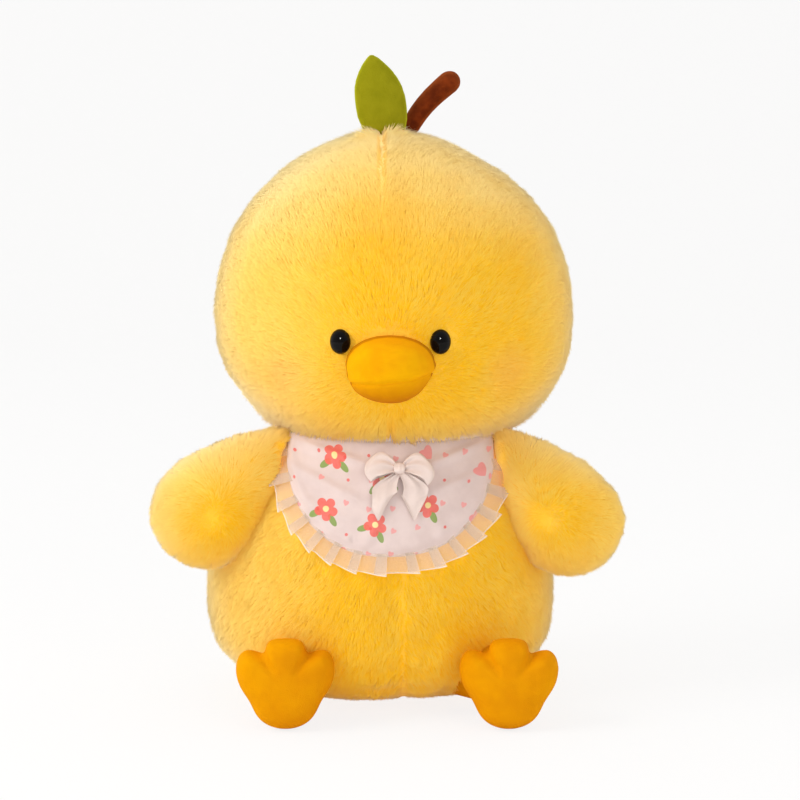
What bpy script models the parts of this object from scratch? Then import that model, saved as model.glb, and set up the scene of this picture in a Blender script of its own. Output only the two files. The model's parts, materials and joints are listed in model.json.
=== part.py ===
# A plush duck that sits upright, with stuffed wings, feet and bill.
# It wears a satin bib with a pleated ruffle, and a leaf and a stem stand on its crown.
# It looks along -Y, its own left side is at +X, and the origin lies on its flat seat below the face.

import math

import bmesh
import bpy
from mathutils import Matrix, Vector

# Fits shared by all pieces
GAP = 0.0003
OVERRUN = 0.004
PROBE = 0.0005
FULL_TURN = 2 * math.pi
SHARP_ANGLE = math.radians(50)
SIDES = {"left": 1, "right": -1}

# Fur fabric and its padding
COVER_WALL = 0.003

# Body: an egg that is widest low down, cut flat at the seat and open at the neck
BODY_HALF_WIDTH = 0.095
BODY_FRONT = 0.080
BODY_BACK = 0.074
BODY_WIDEST_Z = 0.058
BODY_POLE_Z = 0.179
BODY_SAG_X = -0.006
SEAT_CUT = 0.0005
BODY_LOW_POWER = 2.8
BODY_HIGH_POWER = 2.0
BODY_SIDES = 32
BODY_RINGS = 12
NECK_Z = 0.1510

# Head: round above, with full cheeks below, and open at the neck
HEAD_HALF_WIDTH = 0.098
HEAD_FRONT = 0.084
HEAD_BACK = 0.084
HEAD_X = 0.0015
HEAD_Y = -0.003
HEAD_WIDEST_Z = 0.2120
HEAD_TOP_Z = 0.3112
HEAD_BOTTOM_Z = 0.1432
HEAD_LOW_POWER = 2.6
HEAD_HIGH_POWER = 2.0
HEAD_SIDES = 32
HEAD_RINGS = 12
LINING_RINGS = 6

# Wings: paddles that hang from the shoulder seam, swelling towards a round tip
WING_LENGTH = 0.094
WING_HALF_WIDTH = 0.030
WING_HALF_THICK = 0.021
WING_ROOT_SHARE = 0.526
WING_ROOT_X = BODY_HALF_WIDTH * WING_ROOT_SHARE
WING_ROOT_Y = -0.033
WING_ROOT_Z = 0.149
WING_WIDEST_SHARE = 0.68
WING_ROOT_WIDTH_SHARE = 0.16
WING_ROOT_THICK_SHARE = 0.34
WING_WAIST_POWER = 1.5
WING_TIP_POWER = 2.3
WING_DROOP = {"left": math.radians(45), "right": math.radians(39.5)}
WING_SWEEP = math.radians(8)
WING_SIDES = 18
WING_RINGS = 9
SHOULDER_SHARE = 0.59
SHOULDER_X = BODY_HALF_WIDTH * SHOULDER_SHARE
SHOULDER_Z = 0.150
WING_RAISE = math.radians(35)
RAISE_STEPS = 3

# Feet: fans with three toes on a short wide leg, the soles facing forward
FOOT_SPREAD_SHARE = 0.622
FOOT_SPREAD = BODY_HALF_WIDTH * FOOT_SPREAD_SHARE
FEET_X = 0.0035
FOOT_SOLE_Y = -0.096
FOOT_THICK = 0.026
FOOT_ANKLE = 0.003
FOOT_LEG = 0.032
FOOT_HEEL_RADIUS = 0.0236
FOOT_CROWN_RISE = 0.0012
FOOT_TOE_RISE = 0.0030
FOOT_TOE_DIP = 0.0074
FOOT_FLANK_DIP = 0.0045
FOOT_WIDE_SHARE = 1.10
FOOT_LEG_RADIUS = 0.0165
FOOT_LEG_SPREAD = 0.040
FOOT_FLOOR_GAP = 0.0002
TOE_ANGLE = math.radians(50)
TOE_SPREAD = math.radians(24)
DIP_ANGLE = math.radians(33)
DIP_SPREAD = math.radians(9)
FLANK_ANGLE = math.radians(115)
FLANK_SPREAD = math.radians(30)
FOOT_TOP_SIDES = 22
FOOT_HEEL_SIDES = 12
# Each pair: how far back a ring lies, as a share of the thickness, and its size as a share of the outline
SOLE_SHARES = ((0.0, 0.58), (0.04, 0.78), (0.16, 0.93), (0.42, 1.0), (0.70, 0.97), (0.88, 0.84), (1.0, 0.66))

# Bill: two padded lobes that meet at the mouth
BILL_HALF_WIDTH = 0.0232
BILL_MOUTH_Z = 0.1885
BILL_UPPER_HEIGHT = 0.0222
BILL_LOWER_HEIGHT = 0.0124
BILL_UPPER_REACH = 0.029
BILL_LOWER_REACH = 0.024
BILL_LOWER_WIDTH_SHARE = 0.90
BILL_BELLY_SHARE = 0.30
BILL_PROFILE_POWER = 2.3
BILL_LIP_POWER = 3.2
BILL_BROW_POWER = 2.1
BILL_SIDES = 20
BILL_RINGS = 5

# Eyes: oval domes on a ribbed shank, each held by a washer inside the head
EYE_Z = 0.2067
EYE_HALF_WIDTH = 0.0055
EYE_HALF_HEIGHT = 0.0066
EYE_TUCK = 0.0019
EYE_SPREAD = BILL_HALF_WIDTH + EYE_HALF_WIDTH - EYE_TUCK
EYE_DOME = 0.0052
EYE_SEAT = 0.0008
EYE_SIDES = 20
EYE_RINGS = 4
SHANK_RADIUS = 0.0020
SHANK_LENGTH = 0.013
SHANK_RIBS = 3
SHANK_RIB_RISE = 0.0003
SHANK_RIB_PITCH = 0.0022
SHANK_TIP_SHARE = 0.6
SHANK_SIDES = 12
WASHER_RADIUS = 0.0065
WASHER_THICK = 0.0012
WASHER_COLLAR_RADIUS = 0.0036
WASHER_COLLAR_RISE = 0.0014
WASHER_SIDES = 20

# Leaf and stem on the crown
LEAF_X = -0.0038
LEAF_Y = -0.0075
LEAF_WIDEST_Z = 0.3255
LEAF_TIP_Z = 0.3520
LEAF_ROOT_Z = 0.300
LEAF_HALF_WIDTH = 0.0145
LEAF_HALF_THICK = 0.0036
LEAF_LEAN = math.radians(5)
LEAF_TIP_POWER = 2.4
LEAF_ROOT_POWER = 2.0
LEAF_RINGS = 12
LEAF_SIDES = 10
STEM_BASE_X = 0.0060
STEM_BASE_Z = 0.3035
STEM_END_X = 0.0318
STEM_END_Z = 0.3370
STEM_Y = 0.003
STEM_BASE_RADIUS = 0.0046
STEM_END_RADIUS = 0.0060
STEM_BOW = -0.0030
STEM_RINGS = 7
STEM_SIDES = 14
STEM_DOME_RINGS = 3

# Bib: a lined satin panel with a pleated ruffle, hung from a band round the neck
BIB_WIDTH_SHARE = 0.592
BIB_HALF_WIDTH = BODY_HALF_WIDTH * BIB_WIDTH_SHARE
BIB_DROP = 0.0595
BIB_CURVE_POWER = 2.3
BIB_TOP_TAPER_SHARE = 0.08
BIB_LAY = 0.0007
BIB_LINING_THICK = 0.0008
BIB_PANEL_THICK = 0.0010
BIB_COLUMNS = 16
BIB_ROWS = 6
BAND_HEIGHT = 0.005
BAND_THICK = 0.0010
BAND_SIDES = 32
RUFFLE_DEPTH = 0.0092
RUFFLE_THICK = 0.0006
RUFFLE_PLEATS = 16
RUFFLE_STEPS = 4
RUFFLE_RISE = 0.0026
RUFFLE_SEAT = 0.0010
RUFFLE_CLEAR = 0.0012

# Bow: two ribbon loops and two tails from one knot
BOW_X = 0.0045
BOW_Z = 0.1337
BOW_KNOT_HALF_WIDTH = 0.0030
BOW_KNOT_HALF_HEIGHT = 0.0032
BOW_KNOT_DEPTH = 0.0050
BOW_KNOT_EDGE = 0.0010
BOW_LOOP_LENGTH = 0.0138
BOW_LOOP_DEPTH = 0.0052
BOW_LOOP_FLARE = 0.0075
BOW_LOOP_PINCH = 0.0032
BOW_RIBBON_THICK = 0.0006
BOW_LOOP_STEPS = 14
BOW_LOOP_LIFT = math.radians(12)
BOW_TAIL_LENGTH = 0.0225
BOW_TAIL_TILT = math.radians(20)
BOW_TAIL_ROOT = 0.0022
BOW_TAIL_FLARE = 0.0062
BOW_TAIL_STEPS = 5
BOW_TAIL_SLANT_SHARE = 0.35

# Finishes as red, green, blue, roughness
FUR_YELLOW = (0.90, 0.62, 0.12, 0.95)
FIBRE_WHITE = (0.86, 0.86, 0.84, 0.95)
PLUSH_ORANGE = (0.88, 0.42, 0.02, 0.90)
EYE_BLACK = (0.01, 0.01, 0.012, 0.12)
WASHER_WHITE = (0.85, 0.85, 0.83, 0.50)
FELT_GREEN = (0.32, 0.31, 0.02, 0.92)
PILE_BROWN = (0.19, 0.04, 0.01, 0.88)
SATIN_WHITE = (0.86, 0.76, 0.72, 0.35)
COTTON_WHITE = (0.84, 0.82, 0.78, 0.85)
ORGANZA_PEACH = (0.90, 0.66, 0.45, 0.45)
RIBBON_IVORY = (0.84, 0.74, 0.66, 0.32)


class Swell:
    """A form of level oval rings: it swells from a low pole to its widest level and closes at a high pole."""

    def __init__(self, **sizes):
        self.__dict__.update(sizes)

    def grown(self, offset):
        """The same form, larger by the offset on every side."""
        sizes = dict(self.__dict__)
        for name in ("width", "front", "back"):
            sizes[name] += offset
        sizes["low"] -= offset
        sizes["high"] += offset
        return Swell(**sizes)

    def share(self, z):
        """How wide the form is at a level, as a share of its widest."""
        reach, power = self.half_height(z)
        drawn = min(abs(z - self.widest) / reach, 1.0)
        return (1 - drawn**power) ** (1 / power)

    def half_height(self, z):
        if z > self.widest:
            return self.high - self.widest, self.high_power
        return self.widest - self.low, self.low_power

    def centre_x(self, z):
        """The middle of a ring, which sags sideways below and is straight at the top of a leaning form."""
        rise = max(z - self.widest, 0.0) / (self.straight - self.widest)
        return self.x + self.sag * (1 - min(rise, 1.0) ** 2)

    def point(self, angle, z):
        """The point of the skin at an angle round the form, counted from +X."""
        share = self.share(z)
        depth = self.back if math.sin(angle) > 0 else self.front
        across = self.centre_x(z) + self.width * share * math.cos(angle)
        return Vector((across, self.y + depth * share * math.sin(angle), z))

    def front_point(self, x, z):
        """The point of the front of the skin at a place across and a level."""
        share = max(self.share(z), PROBE)
        side = (x - self.centre_x(z)) / (self.width * share)
        side = max(-1.0, min(1.0, side))
        return Vector((x, self.y - self.front * share * math.sqrt(1 - side * side), z))

    def front_normal(self, x, z):
        """The outward direction of the front of the skin."""
        across = self.front_point(x + PROBE, z) - self.front_point(x - PROBE, z)
        up = self.front_point(x, z + PROBE) - self.front_point(x, z - PROBE)
        return across.cross(up).normalized()

    def levels(self, start, end, count):
        """Levels from start to end, closer together where the form closes."""
        turns = [self.turn(start), self.turn(end)]
        steps = [turns[0] + (turns[1] - turns[0]) * i / count for i in range(count + 1)]
        return [self.level(turn) for turn in steps]

    def turn(self, z):
        reach, power = self.half_height(z)
        share = min(abs(z - self.widest) / reach, 1.0)
        return math.copysign(math.asin(share ** (power / 2)), z - self.widest)

    def level(self, turn):
        above = turn > 0
        reach = self.high - self.widest if above else self.low - self.widest
        power = self.high_power if above else self.low_power
        return self.widest + reach * abs(math.sin(turn)) ** (2 / power)

    def rings(self, start, end, count, sides):
        """Rings of points from one level to another."""
        return [
            [self.point(FULL_TURN * i / sides, z) for i in range(sides)]
            for z in self.levels(start, end, count)
        ]


BODY = Swell(
    x=0.0,
    y=0.0,
    sag=BODY_SAG_X,
    straight=NECK_Z,
    width=BODY_HALF_WIDTH,
    front=BODY_FRONT,
    back=BODY_BACK,
    low=-SEAT_CUT,
    widest=BODY_WIDEST_Z,
    high=BODY_POLE_Z,
    low_power=BODY_LOW_POWER,
    high_power=BODY_HIGH_POWER,
)
HEAD = Swell(
    x=HEAD_X,
    y=HEAD_Y,
    sag=0.0,
    straight=HEAD_TOP_Z,
    width=HEAD_HALF_WIDTH,
    front=HEAD_FRONT,
    back=HEAD_BACK,
    low=HEAD_BOTTOM_Z,
    widest=HEAD_WIDEST_Z,
    high=HEAD_TOP_Z,
    low_power=HEAD_LOW_POWER,
    high_power=HEAD_HIGH_POWER,
)


def material(name, finish):
    """A plain surface of one colour."""
    made = bpy.data.materials.get(name) or bpy.data.materials.new(name)
    made.use_nodes = True
    shader = made.node_tree.nodes["Principled BSDF"]
    shader.inputs["Base Color"].default_value = (*finish[:3], 1.0)
    shader.inputs["Roughness"].default_value = finish[3]
    shader.inputs["Metallic"].default_value = 0.0
    return made


def add_mesh(name, bm):
    """Turns finished mesh data into an object with its faces outward."""
    bmesh.ops.recalc_face_normals(bm, faces=bm.faces)
    mesh = bpy.data.meshes.new(name)
    bm.to_mesh(mesh)
    bm.free()
    mesh.shade_smooth()
    mesh.set_sharp_from_angle(angle=SHARP_ANGLE)
    made = bpy.data.objects.new(name, mesh)
    bpy.context.scene.collection.objects.link(made)
    return made


def skin(bm, loops, closed=True):
    """Joins each loop of corners to the next with three-sided faces."""
    for low, high in zip(loops, loops[1:]):
        count = len(low)
        for i in range(count if closed else count - 1):
            j = (i + 1) % count
            for corners in ((low[i], low[j], high[j]), (low[i], high[j], high[i])):
                if len(set(corners)) > 2:
                    bm.faces.new(corners)


def corner_loops(bm, rings):
    """Makes the corners of each ring; a ring of equal points becomes one corner."""
    loops = []
    for ring in rings:
        spread = max((point - ring[0]).length for point in ring)
        if spread < PROBE / 10:
            loops.append([bm.verts.new(ring[0])] * len(ring))
        else:
            loops.append([bm.verts.new(point) for point in ring])
    return loops


def cap(bm, loop):
    """Closes a loop of corners, unless it is already one corner."""
    if loop[0] is not loop[1]:
        bm.faces.new(loop)


def solid_from_rings(name, rings, finish_name, finish):
    """A closed solid through a row of rings."""
    bm = bmesh.new()
    loops = corner_loops(bm, rings)
    skin(bm, loops)
    cap(bm, loops[0])
    cap(bm, loops[-1])
    made = add_mesh(name, bm)
    made.data.materials.append(material(finish_name, finish))
    return made


def pot_from_rings(name, outer, inner, finish_name, finish):
    """A wall with one mouth, where the last outer ring meets the last inner ring."""
    bm = bmesh.new()
    outside = corner_loops(bm, outer)
    inside = corner_loops(bm, inner)
    skin(bm, outside)
    skin(bm, inside)
    skin(bm, [outside[-1], inside[-1]])
    cap(bm, outside[0])
    cap(bm, inside[0])
    made = add_mesh(name, bm)
    made.data.materials.append(material(finish_name, finish))
    return made


def guide(made):
    """Marks a shape that only cuts others."""
    made.hide_render = True
    made.display_type = "WIRE"
    return made


def cut(made, *cutters):
    """Cuts guide shapes out of a piece."""
    for cutter in cutters:
        step = made.modifiers.new(f"without_{cutter.name}", "BOOLEAN")
        step.operation = "DIFFERENCE"
        step.solver = "EXACT"
        step.object = cutter
    return made


def place(made, matrix):
    """Sets a piece down where the matrix says."""
    made.matrix_world = matrix
    return made


def body_zone(offset):
    """The room that the body takes, with a clearance."""
    form = BODY.grown(offset)
    rings = form.rings(-offset, NECK_Z - GAP / 2 + offset, BODY_RINGS, BODY_SIDES)
    return guide(solid_from_rings("body_zone", rings, "guide", FUR_YELLOW))


def head_zone(name, offset):
    """The room that the head takes, with a clearance."""
    form = HEAD.grown(offset)
    rings = form.rings(NECK_Z + GAP / 2 - offset, form.high, HEAD_RINGS, HEAD_SIDES)
    return guide(solid_from_rings(name, rings, "guide", FUR_YELLOW))


def make_body():
    """Fur cover, open at the neck, and its filling."""
    rim = NECK_Z - GAP / 2
    inner = BODY.grown(-COVER_WALL)
    filling = BODY.grown(-COVER_WALL - GAP)
    floor = COVER_WALL
    outer_rings = BODY.rings(0.0, rim, BODY_RINGS, BODY_SIDES)
    inner_rings = inner.rings(floor, rim, LINING_RINGS, BODY_SIDES)
    filling_rings = filling.rings(floor + GAP, rim, LINING_RINGS, BODY_SIDES)
    pot_from_rings("body_cover", outer_rings, inner_rings, "yellow_fur", FUR_YELLOW)
    solid_from_rings("body_stuffing", filling_rings, "white_fibre", FIBRE_WHITE)


def make_head():
    """Fur cover, open at the neck, and its filling, both cut for the eyes."""
    rim = NECK_Z + GAP / 2
    inner = HEAD.grown(-COVER_WALL)
    filling = HEAD.grown(-COVER_WALL - GAP)
    outer_rings = HEAD.rings(rim, HEAD.high, HEAD_RINGS, HEAD_SIDES)[::-1]
    inner_rings = inner.rings(rim, inner.high, LINING_RINGS, HEAD_SIDES)[::-1]
    filling_rings = filling.rings(rim, filling.high, LINING_RINGS, HEAD_SIDES)[::-1]
    cover = pot_from_rings("head_cover", outer_rings, inner_rings, "yellow_fur", FUR_YELLOW)
    stuffing = solid_from_rings("head_stuffing", filling_rings, "white_fibre", FIBRE_WHITE)
    return cover, stuffing


def wing_share(share, root_share):
    """How wide a wing is at a share of its length."""
    if share < WING_WIDEST_SHARE:
        back = (WING_WIDEST_SHARE - share) / WING_WIDEST_SHARE
        return 1 - (1 - root_share) * back**WING_WAIST_POWER
    ahead = (share - WING_WIDEST_SHARE) / (1 - WING_WIDEST_SHARE)
    return (1 - ahead**WING_TIP_POWER) ** (1 / WING_TIP_POWER)


def wing_rings(inset):
    """Rings of a wing that points along +X from its root, drawn in by the inset."""
    length = WING_LENGTH - inset
    start = -OVERRUN if inset else 0.0
    made = []
    for i in range(WING_RINGS + 1):
        share = math.sin(math.pi / 2 * i / WING_RINGS)
        width = max(WING_HALF_WIDTH * wing_share(share, WING_ROOT_WIDTH_SHARE) - inset, 0.0)
        thick = max(WING_HALF_THICK * wing_share(share, WING_ROOT_THICK_SHARE) - inset, 0.0)
        if i < WING_RINGS:
            width = max(width, PROBE)
            thick = max(thick, PROBE)
        made.append([
            Vector((
                start + (length - start) * share,
                thick * math.cos(FULL_TURN * k / WING_SIDES),
                width * math.sin(FULL_TURN * k / WING_SIDES),
            ))
            for k in range(WING_SIDES)
        ])
    return made


def wing_matrix(side):
    """The place of a wing at rest, from a wing that points along +X."""
    sign = SIDES[side]
    turn = Matrix.Rotation(WING_DROOP[side], 4, "Y") if sign > 0 else (
        Matrix.Rotation(math.pi - WING_DROOP[side], 4, "Y")
    )
    sweep = Matrix.Rotation(-sign * WING_SWEEP, 4, "Z")
    root = Matrix.Translation((sign * WING_ROOT_X, WING_ROOT_Y, WING_ROOT_Z))
    return root @ sweep @ turn


def shoulder(side):
    """The hinge line of a wing: a point on the shoulder seam, with the line along Y."""
    return Vector((SIDES[side] * SHOULDER_X, WING_ROOT_Y, SHOULDER_Z))


def lowered(side, raise_angle):
    """The turn about a wing's hinge that undoes a raise."""
    centre = Matrix.Translation(shoulder(side))
    return centre @ Matrix.Rotation(SIDES[side] * raise_angle, 4, "Y") @ centre.inverted()


def moved_to_hinge(made, side):
    """Puts a wing's origin on its hinge line without moving its shape."""
    hinge = Matrix.Translation(shoulder(side))
    made.data.transform(hinge.inverted() @ wing_matrix(side))
    made.location = shoulder(side)
    return made


def shoulder_zone():
    """The room between the two hinge lines: what lies there would swing into the bib."""
    bm = bmesh.new()
    bmesh.ops.create_cube(bm, size=2.0)
    bmesh.ops.scale(bm, vec=(SHOULDER_X, HEAD_TOP_Z, HEAD_TOP_Z), verts=bm.verts)
    return guide(add_mesh("shoulder_zone", bm))


def head_rooms(side):
    """The head and its band, as a wing meets them at each step of its raise."""
    rooms = []
    for step in range(RAISE_STEPS + 1):
        room = head_zone(f"head_zone_{side}_{step}", BAND_THICK + 3 * GAP)
        rooms.append(place(room, lowered(side, WING_RAISE * step / RAISE_STEPS)))
    return rooms


def make_wing(side, body_room, middle_room, bib_room):
    """Fur cover and filling of one wing, cut to lie against the body and to swing clear."""
    rooms = [middle_room, body_room, bib_room, *head_rooms(side)]
    hollow = solid_from_rings(f"wing_hollow_{side}", wing_rings(COVER_WALL), "guide", FUR_YELLOW)
    moved_to_hinge(guide(hollow), side)
    cover = solid_from_rings(f"wing_cover_{side}", wing_rings(0.0), "yellow_fur", FUR_YELLOW)
    stuffing = solid_from_rings(
        f"wing_stuffing_{side}", wing_rings(COVER_WALL + GAP), "white_fibre", FIBRE_WHITE
    )
    cut(moved_to_hinge(cover, side), hollow, *rooms)
    cut(moved_to_hinge(stuffing, side), *rooms)


def bump(angle, centre, spread):
    """A smooth bump of height one on both sides of the middle line."""
    return math.exp(-(((abs(angle) - centre) / spread) ** 2))


def foot_radius(angle, inset):
    """The reach of the foot's outline at an angle from straight up: a fan with three toes."""
    rise = FOOT_CROWN_RISE * (1 + math.cos(angle)) / 2
    toes = FOOT_TOE_RISE * bump(angle, TOE_ANGLE, TOE_SPREAD)
    dips = FOOT_TOE_DIP * bump(angle, DIP_ANGLE, DIP_SPREAD)
    flanks = FOOT_FLANK_DIP * bump(angle, FLANK_ANGLE, FLANK_SPREAD)
    return FOOT_HEEL_RADIUS + rise + toes - dips - flanks - inset


def foot_angles():
    """Angles round the foot from straight up, closer together over the toes."""
    quarter = math.pi / 2
    top = [-quarter + math.pi * i / FOOT_TOP_SIDES for i in range(FOOT_TOP_SIDES)]
    heel = [quarter + math.pi * i / FOOT_HEEL_SIDES for i in range(FOOT_HEEL_SIDES)]
    return top + heel


def foot_centre(side):
    """The middle of a foot's heel, at the depth of the body's middle."""
    return Vector((FEET_X + SIDES[side] * FOOT_SPREAD, 0.0, FOOT_HEEL_RADIUS + FOOT_FLOOR_GAP))


def foot_rings(side, inset):
    """Rings of a foot from its sole back to the end of its leg, drawn in by the inset."""
    made = []
    depth = FOOT_THICK - 2 * inset
    for back_share, outline_share in SOLE_SHARES:
        y = FOOT_SOLE_Y + inset + depth * back_share
        made.append([
            Vector((
                outline_share * foot_radius(wrapped(angle), inset) * FOOT_WIDE_SHARE * math.sin(angle),
                y,
                outline_share * foot_radius(wrapped(angle), inset) * math.cos(angle),
            ))
            for angle in foot_angles()
        ])
    leg = FOOT_LEG_RADIUS - inset
    ankle = FOOT_SOLE_Y + FOOT_THICK + FOOT_ANKLE
    hip = ankle + FOOT_LEG + (OVERRUN if inset else 0.0)
    hip_inward = foot_centre(side).x - (BODY_SAG_X + SIDES[side] * FOOT_LEG_SPREAD)
    for y, inward in ((ankle, 0.0), (hip, hip_inward)):
        made.append([
            Vector((leg * math.sin(angle) - inward, y, leg * math.cos(angle)))
            for angle in foot_angles()
        ])
    return made


def wrapped(angle):
    """The same angle, counted from minus a half turn to a half turn."""
    return (angle + math.pi) % FULL_TURN - math.pi


def make_foot(side, body_room):
    """Plush cover and filling of one foot, cut to lie against the belly."""
    hollow = solid_from_rings(f"foot_hollow_{side}", foot_rings(side, COVER_WALL), "guide", PLUSH_ORANGE)
    cover = solid_from_rings(f"foot_cover_{side}", foot_rings(side, 0.0), "orange_plush", PLUSH_ORANGE)
    stuffing = solid_from_rings(
        f"foot_stuffing_{side}", foot_rings(side, COVER_WALL + GAP), "white_fibre", FIBRE_WHITE
    )
    for made in (guide(hollow), cover, stuffing):
        made.location = foot_centre(side)
    cut(cover, hollow, body_room)
    cut(stuffing, body_room)


def lobe_rings(height, width, reach, upward):
    """Rings of one lobe of the bill, from the front back into the head."""
    lip = height * BILL_BELLY_SHARE
    brow = height - lip
    root = HEAD.front_point(0.0, BILL_MOUTH_Z).y + 2 * OVERRUN
    front = HEAD.front_point(0.0, BILL_MOUTH_Z).y - reach
    made = []
    for i in range(BILL_RINGS + 1):
        turn = math.pi / 2 * i / BILL_RINGS
        share = math.sin(turn) ** (2 / BILL_PROFILE_POWER)
        y = front + reach * (1 - math.cos(turn) ** (2 / BILL_PROFILE_POWER))
        made.append(lobe_ring(y, share, width, lip, brow, upward))
    made.append(lobe_ring(root, 1.0, width, lip, brow, upward))
    return made


def lobe_ring(y, share, width, lip, brow, upward):
    """One oval of a lobe, flatter on the side of the mouth."""
    centre = BILL_MOUTH_Z + upward * (lip + GAP / 2)
    points = []
    for k in range(BILL_SIDES):
        angle = FULL_TURN * k / BILL_SIDES
        power = BILL_BROW_POWER if math.sin(angle) > 0 else BILL_LIP_POWER
        size = brow if math.sin(angle) > 0 else lip
        across = math.copysign(abs(math.cos(angle)) ** (2 / power), math.cos(angle))
        up = math.copysign(abs(math.sin(angle)) ** (2 / power), math.sin(angle))
        points.append(Vector((share * width * across, y, centre + upward * share * size * up)))
    return points


def make_bill(head_room):
    """The upper and the lower lobe, both cut to lie on the face."""
    upper = lobe_rings(BILL_UPPER_HEIGHT, BILL_HALF_WIDTH, BILL_UPPER_REACH, 1)
    lower_width = BILL_HALF_WIDTH * BILL_LOWER_WIDTH_SHARE
    lower = lobe_rings(BILL_LOWER_HEIGHT, lower_width, BILL_LOWER_REACH, -1)
    cut(solid_from_rings("bill_upper", upper, "orange_plush", PLUSH_ORANGE), head_room)
    cut(solid_from_rings("bill_lower", lower, "orange_plush", PLUSH_ORANGE), head_room)


def turned_rings(profile, sides, wide_share=1.0):
    """Rings about the Z axis through pairs of radius and height."""
    return [
        [
            Vector((
                radius * wide_share * math.cos(FULL_TURN * k / sides),
                radius * math.sin(FULL_TURN * k / sides),
                height,
            ))
            for k in range(sides)
        ]
        for radius, height in profile
    ]


def eye_matrix(side):
    """The place of an eye: its back lies on the seat that is pressed into the face, and +Z looks outward."""
    x = SIDES[side] * EYE_SPREAD
    outward = HEAD.front_normal(x, EYE_Z)
    seat = HEAD.front_point(x, EYE_Z) - outward * EYE_SEAT
    across = Vector((0.0, 0.0, 1.0)).cross(outward).normalized()
    up = outward.cross(across)
    turn = Matrix((across, up, outward)).transposed().to_4x4()
    return Matrix.Translation(seat) @ turn


def dome_profile():
    """Radius and height of the eye's dome, from its back edge to its top."""
    steps = [math.pi / 2 * i / EYE_RINGS for i in range(EYE_RINGS + 1)]
    return [(EYE_HALF_HEIGHT * math.cos(t), GAP + EYE_DOME * math.sin(t)) for t in steps]


def shank_profile():
    """Radius and height of the ribbed shank, from its tip up to the eye's back."""
    profile = [(SHANK_RADIUS * SHANK_TIP_SHARE, -SHANK_LENGTH)]
    rib = SHANK_RADIUS + SHANK_RIB_RISE
    foot = -SHANK_LENGTH + SHANK_RADIUS
    profile.append((SHANK_RADIUS, foot))
    for i in range(SHANK_RIBS):
        start = foot + i * SHANK_RIB_PITCH
        profile.append((rib, start + SHANK_RIB_PITCH / 2))
        profile.append((SHANK_RADIUS, start + SHANK_RIB_PITCH * SHANK_TIP_SHARE))
    profile.append((SHANK_RADIUS, 0.0))
    return profile


def make_eye(side, cover, stuffing):
    """One eye with its washer, and the seat, hole and pocket that they need in the head."""
    where = eye_matrix(side)
    wide_share = EYE_HALF_WIDTH / EYE_HALF_HEIGHT
    dome = solid_from_rings(
        f"eye_{side}", turned_rings(dome_profile(), EYE_SIDES, wide_share), "black_gloss", EYE_BLACK
    )
    shank_rings = turned_rings(shank_profile() + [(SHANK_RADIUS, 2 * GAP)], SHANK_SIDES)
    shank = solid_from_rings(f"eye_shank_{side}", shank_rings, "guide", EYE_BLACK)
    place(dome, where)
    place(guide(shank), where)
    join = dome.modifiers.new("with_shank", "BOOLEAN")
    join.operation = "UNION"
    join.solver = "EXACT"
    join.object = shank
    back = -(COVER_WALL + GAP - EYE_SEAT)
    make_washer(side, where, back)
    seat_radius = EYE_HALF_HEIGHT + GAP
    seat = turned_rings([(seat_radius, 0.0), (seat_radius, OVERRUN)], EYE_SIDES, wide_share)
    hole_radius = SHANK_RADIUS + SHANK_RIB_RISE + GAP
    hole = turned_rings([(hole_radius, -2 * OVERRUN), (hole_radius, OVERRUN)], SHANK_SIDES)
    pocket_radius = WASHER_RADIUS + GAP
    pocket = turned_rings(
        [(pocket_radius, -SHANK_LENGTH - GAP), (pocket_radius, OVERRUN)], WASHER_SIDES
    )
    grip = turned_rings([(pocket_radius, -SHANK_LENGTH), (pocket_radius, back + GAP)], WASHER_SIDES)
    rooms = {"seat": seat, "hole": hole, "pocket": pocket, "grip": grip}
    for part, rings in rooms.items():
        room = guide(solid_from_rings(f"eye_{part}_{side}", rings, "guide", EYE_BLACK))
        place(room, where)
        cut(stuffing if part == "pocket" else cover, room)


def make_washer(side, where, back):
    """The ring that grips the shank behind the cover: a thin plate with a collar."""
    bore = SHANK_RADIUS + SHANK_RIB_RISE + GAP
    plate = back - WASHER_THICK
    collar = plate - WASHER_COLLAR_RISE
    profile = [
        (bore, back),
        (WASHER_RADIUS, back),
        (WASHER_RADIUS, plate),
        (WASHER_COLLAR_RADIUS, plate),
        (WASHER_COLLAR_RADIUS, collar),
        (bore, collar),
        (bore, back),
    ]
    bm = bmesh.new()
    loops = [[bm.verts.new(p) for p in ring] for ring in turned_rings(profile[:-1], WASHER_SIDES)]
    skin(bm, loops + [loops[0]])
    made = add_mesh(f"eye_washer_{side}", bm)
    made.data.materials.append(material("white_plastic", WASHER_WHITE))
    return place(made, where)


def leaf_share(z):
    """How wide the leaf is at a level, as a share of its widest."""
    if z > LEAF_WIDEST_Z:
        return 1 - ((z - LEAF_WIDEST_Z) / (LEAF_TIP_Z - LEAF_WIDEST_Z)) ** LEAF_TIP_POWER
    return 1 - ((LEAF_WIDEST_Z - z) / (LEAF_WIDEST_Z - LEAF_ROOT_Z)) ** LEAF_ROOT_POWER


def make_leaf(head_room):
    """A stuffed felt leaf: a pointed oval that stands on the crown and leans a little."""
    rings = []
    for i in range(LEAF_RINGS + 1):
        z = LEAF_ROOT_Z + (LEAF_TIP_Z - LEAF_ROOT_Z) * i / LEAF_RINGS
        share = leaf_share(z)
        rings.append([
            Vector((
                LEAF_HALF_WIDTH * share * math.cos(FULL_TURN * k / LEAF_SIDES),
                LEAF_HALF_THICK * math.sqrt(share) * math.sin(FULL_TURN * k / LEAF_SIDES),
                z - LEAF_ROOT_Z,
            ))
            for k in range(LEAF_SIDES)
        ])
    leaf = solid_from_rings("leaf", rings, "green_felt", FELT_GREEN)
    leaf.location = (LEAF_X, LEAF_Y, LEAF_ROOT_Z)
    leaf.rotation_euler = (0.0, -LEAF_LEAN, 0.0)
    cut(leaf, head_room)


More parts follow.
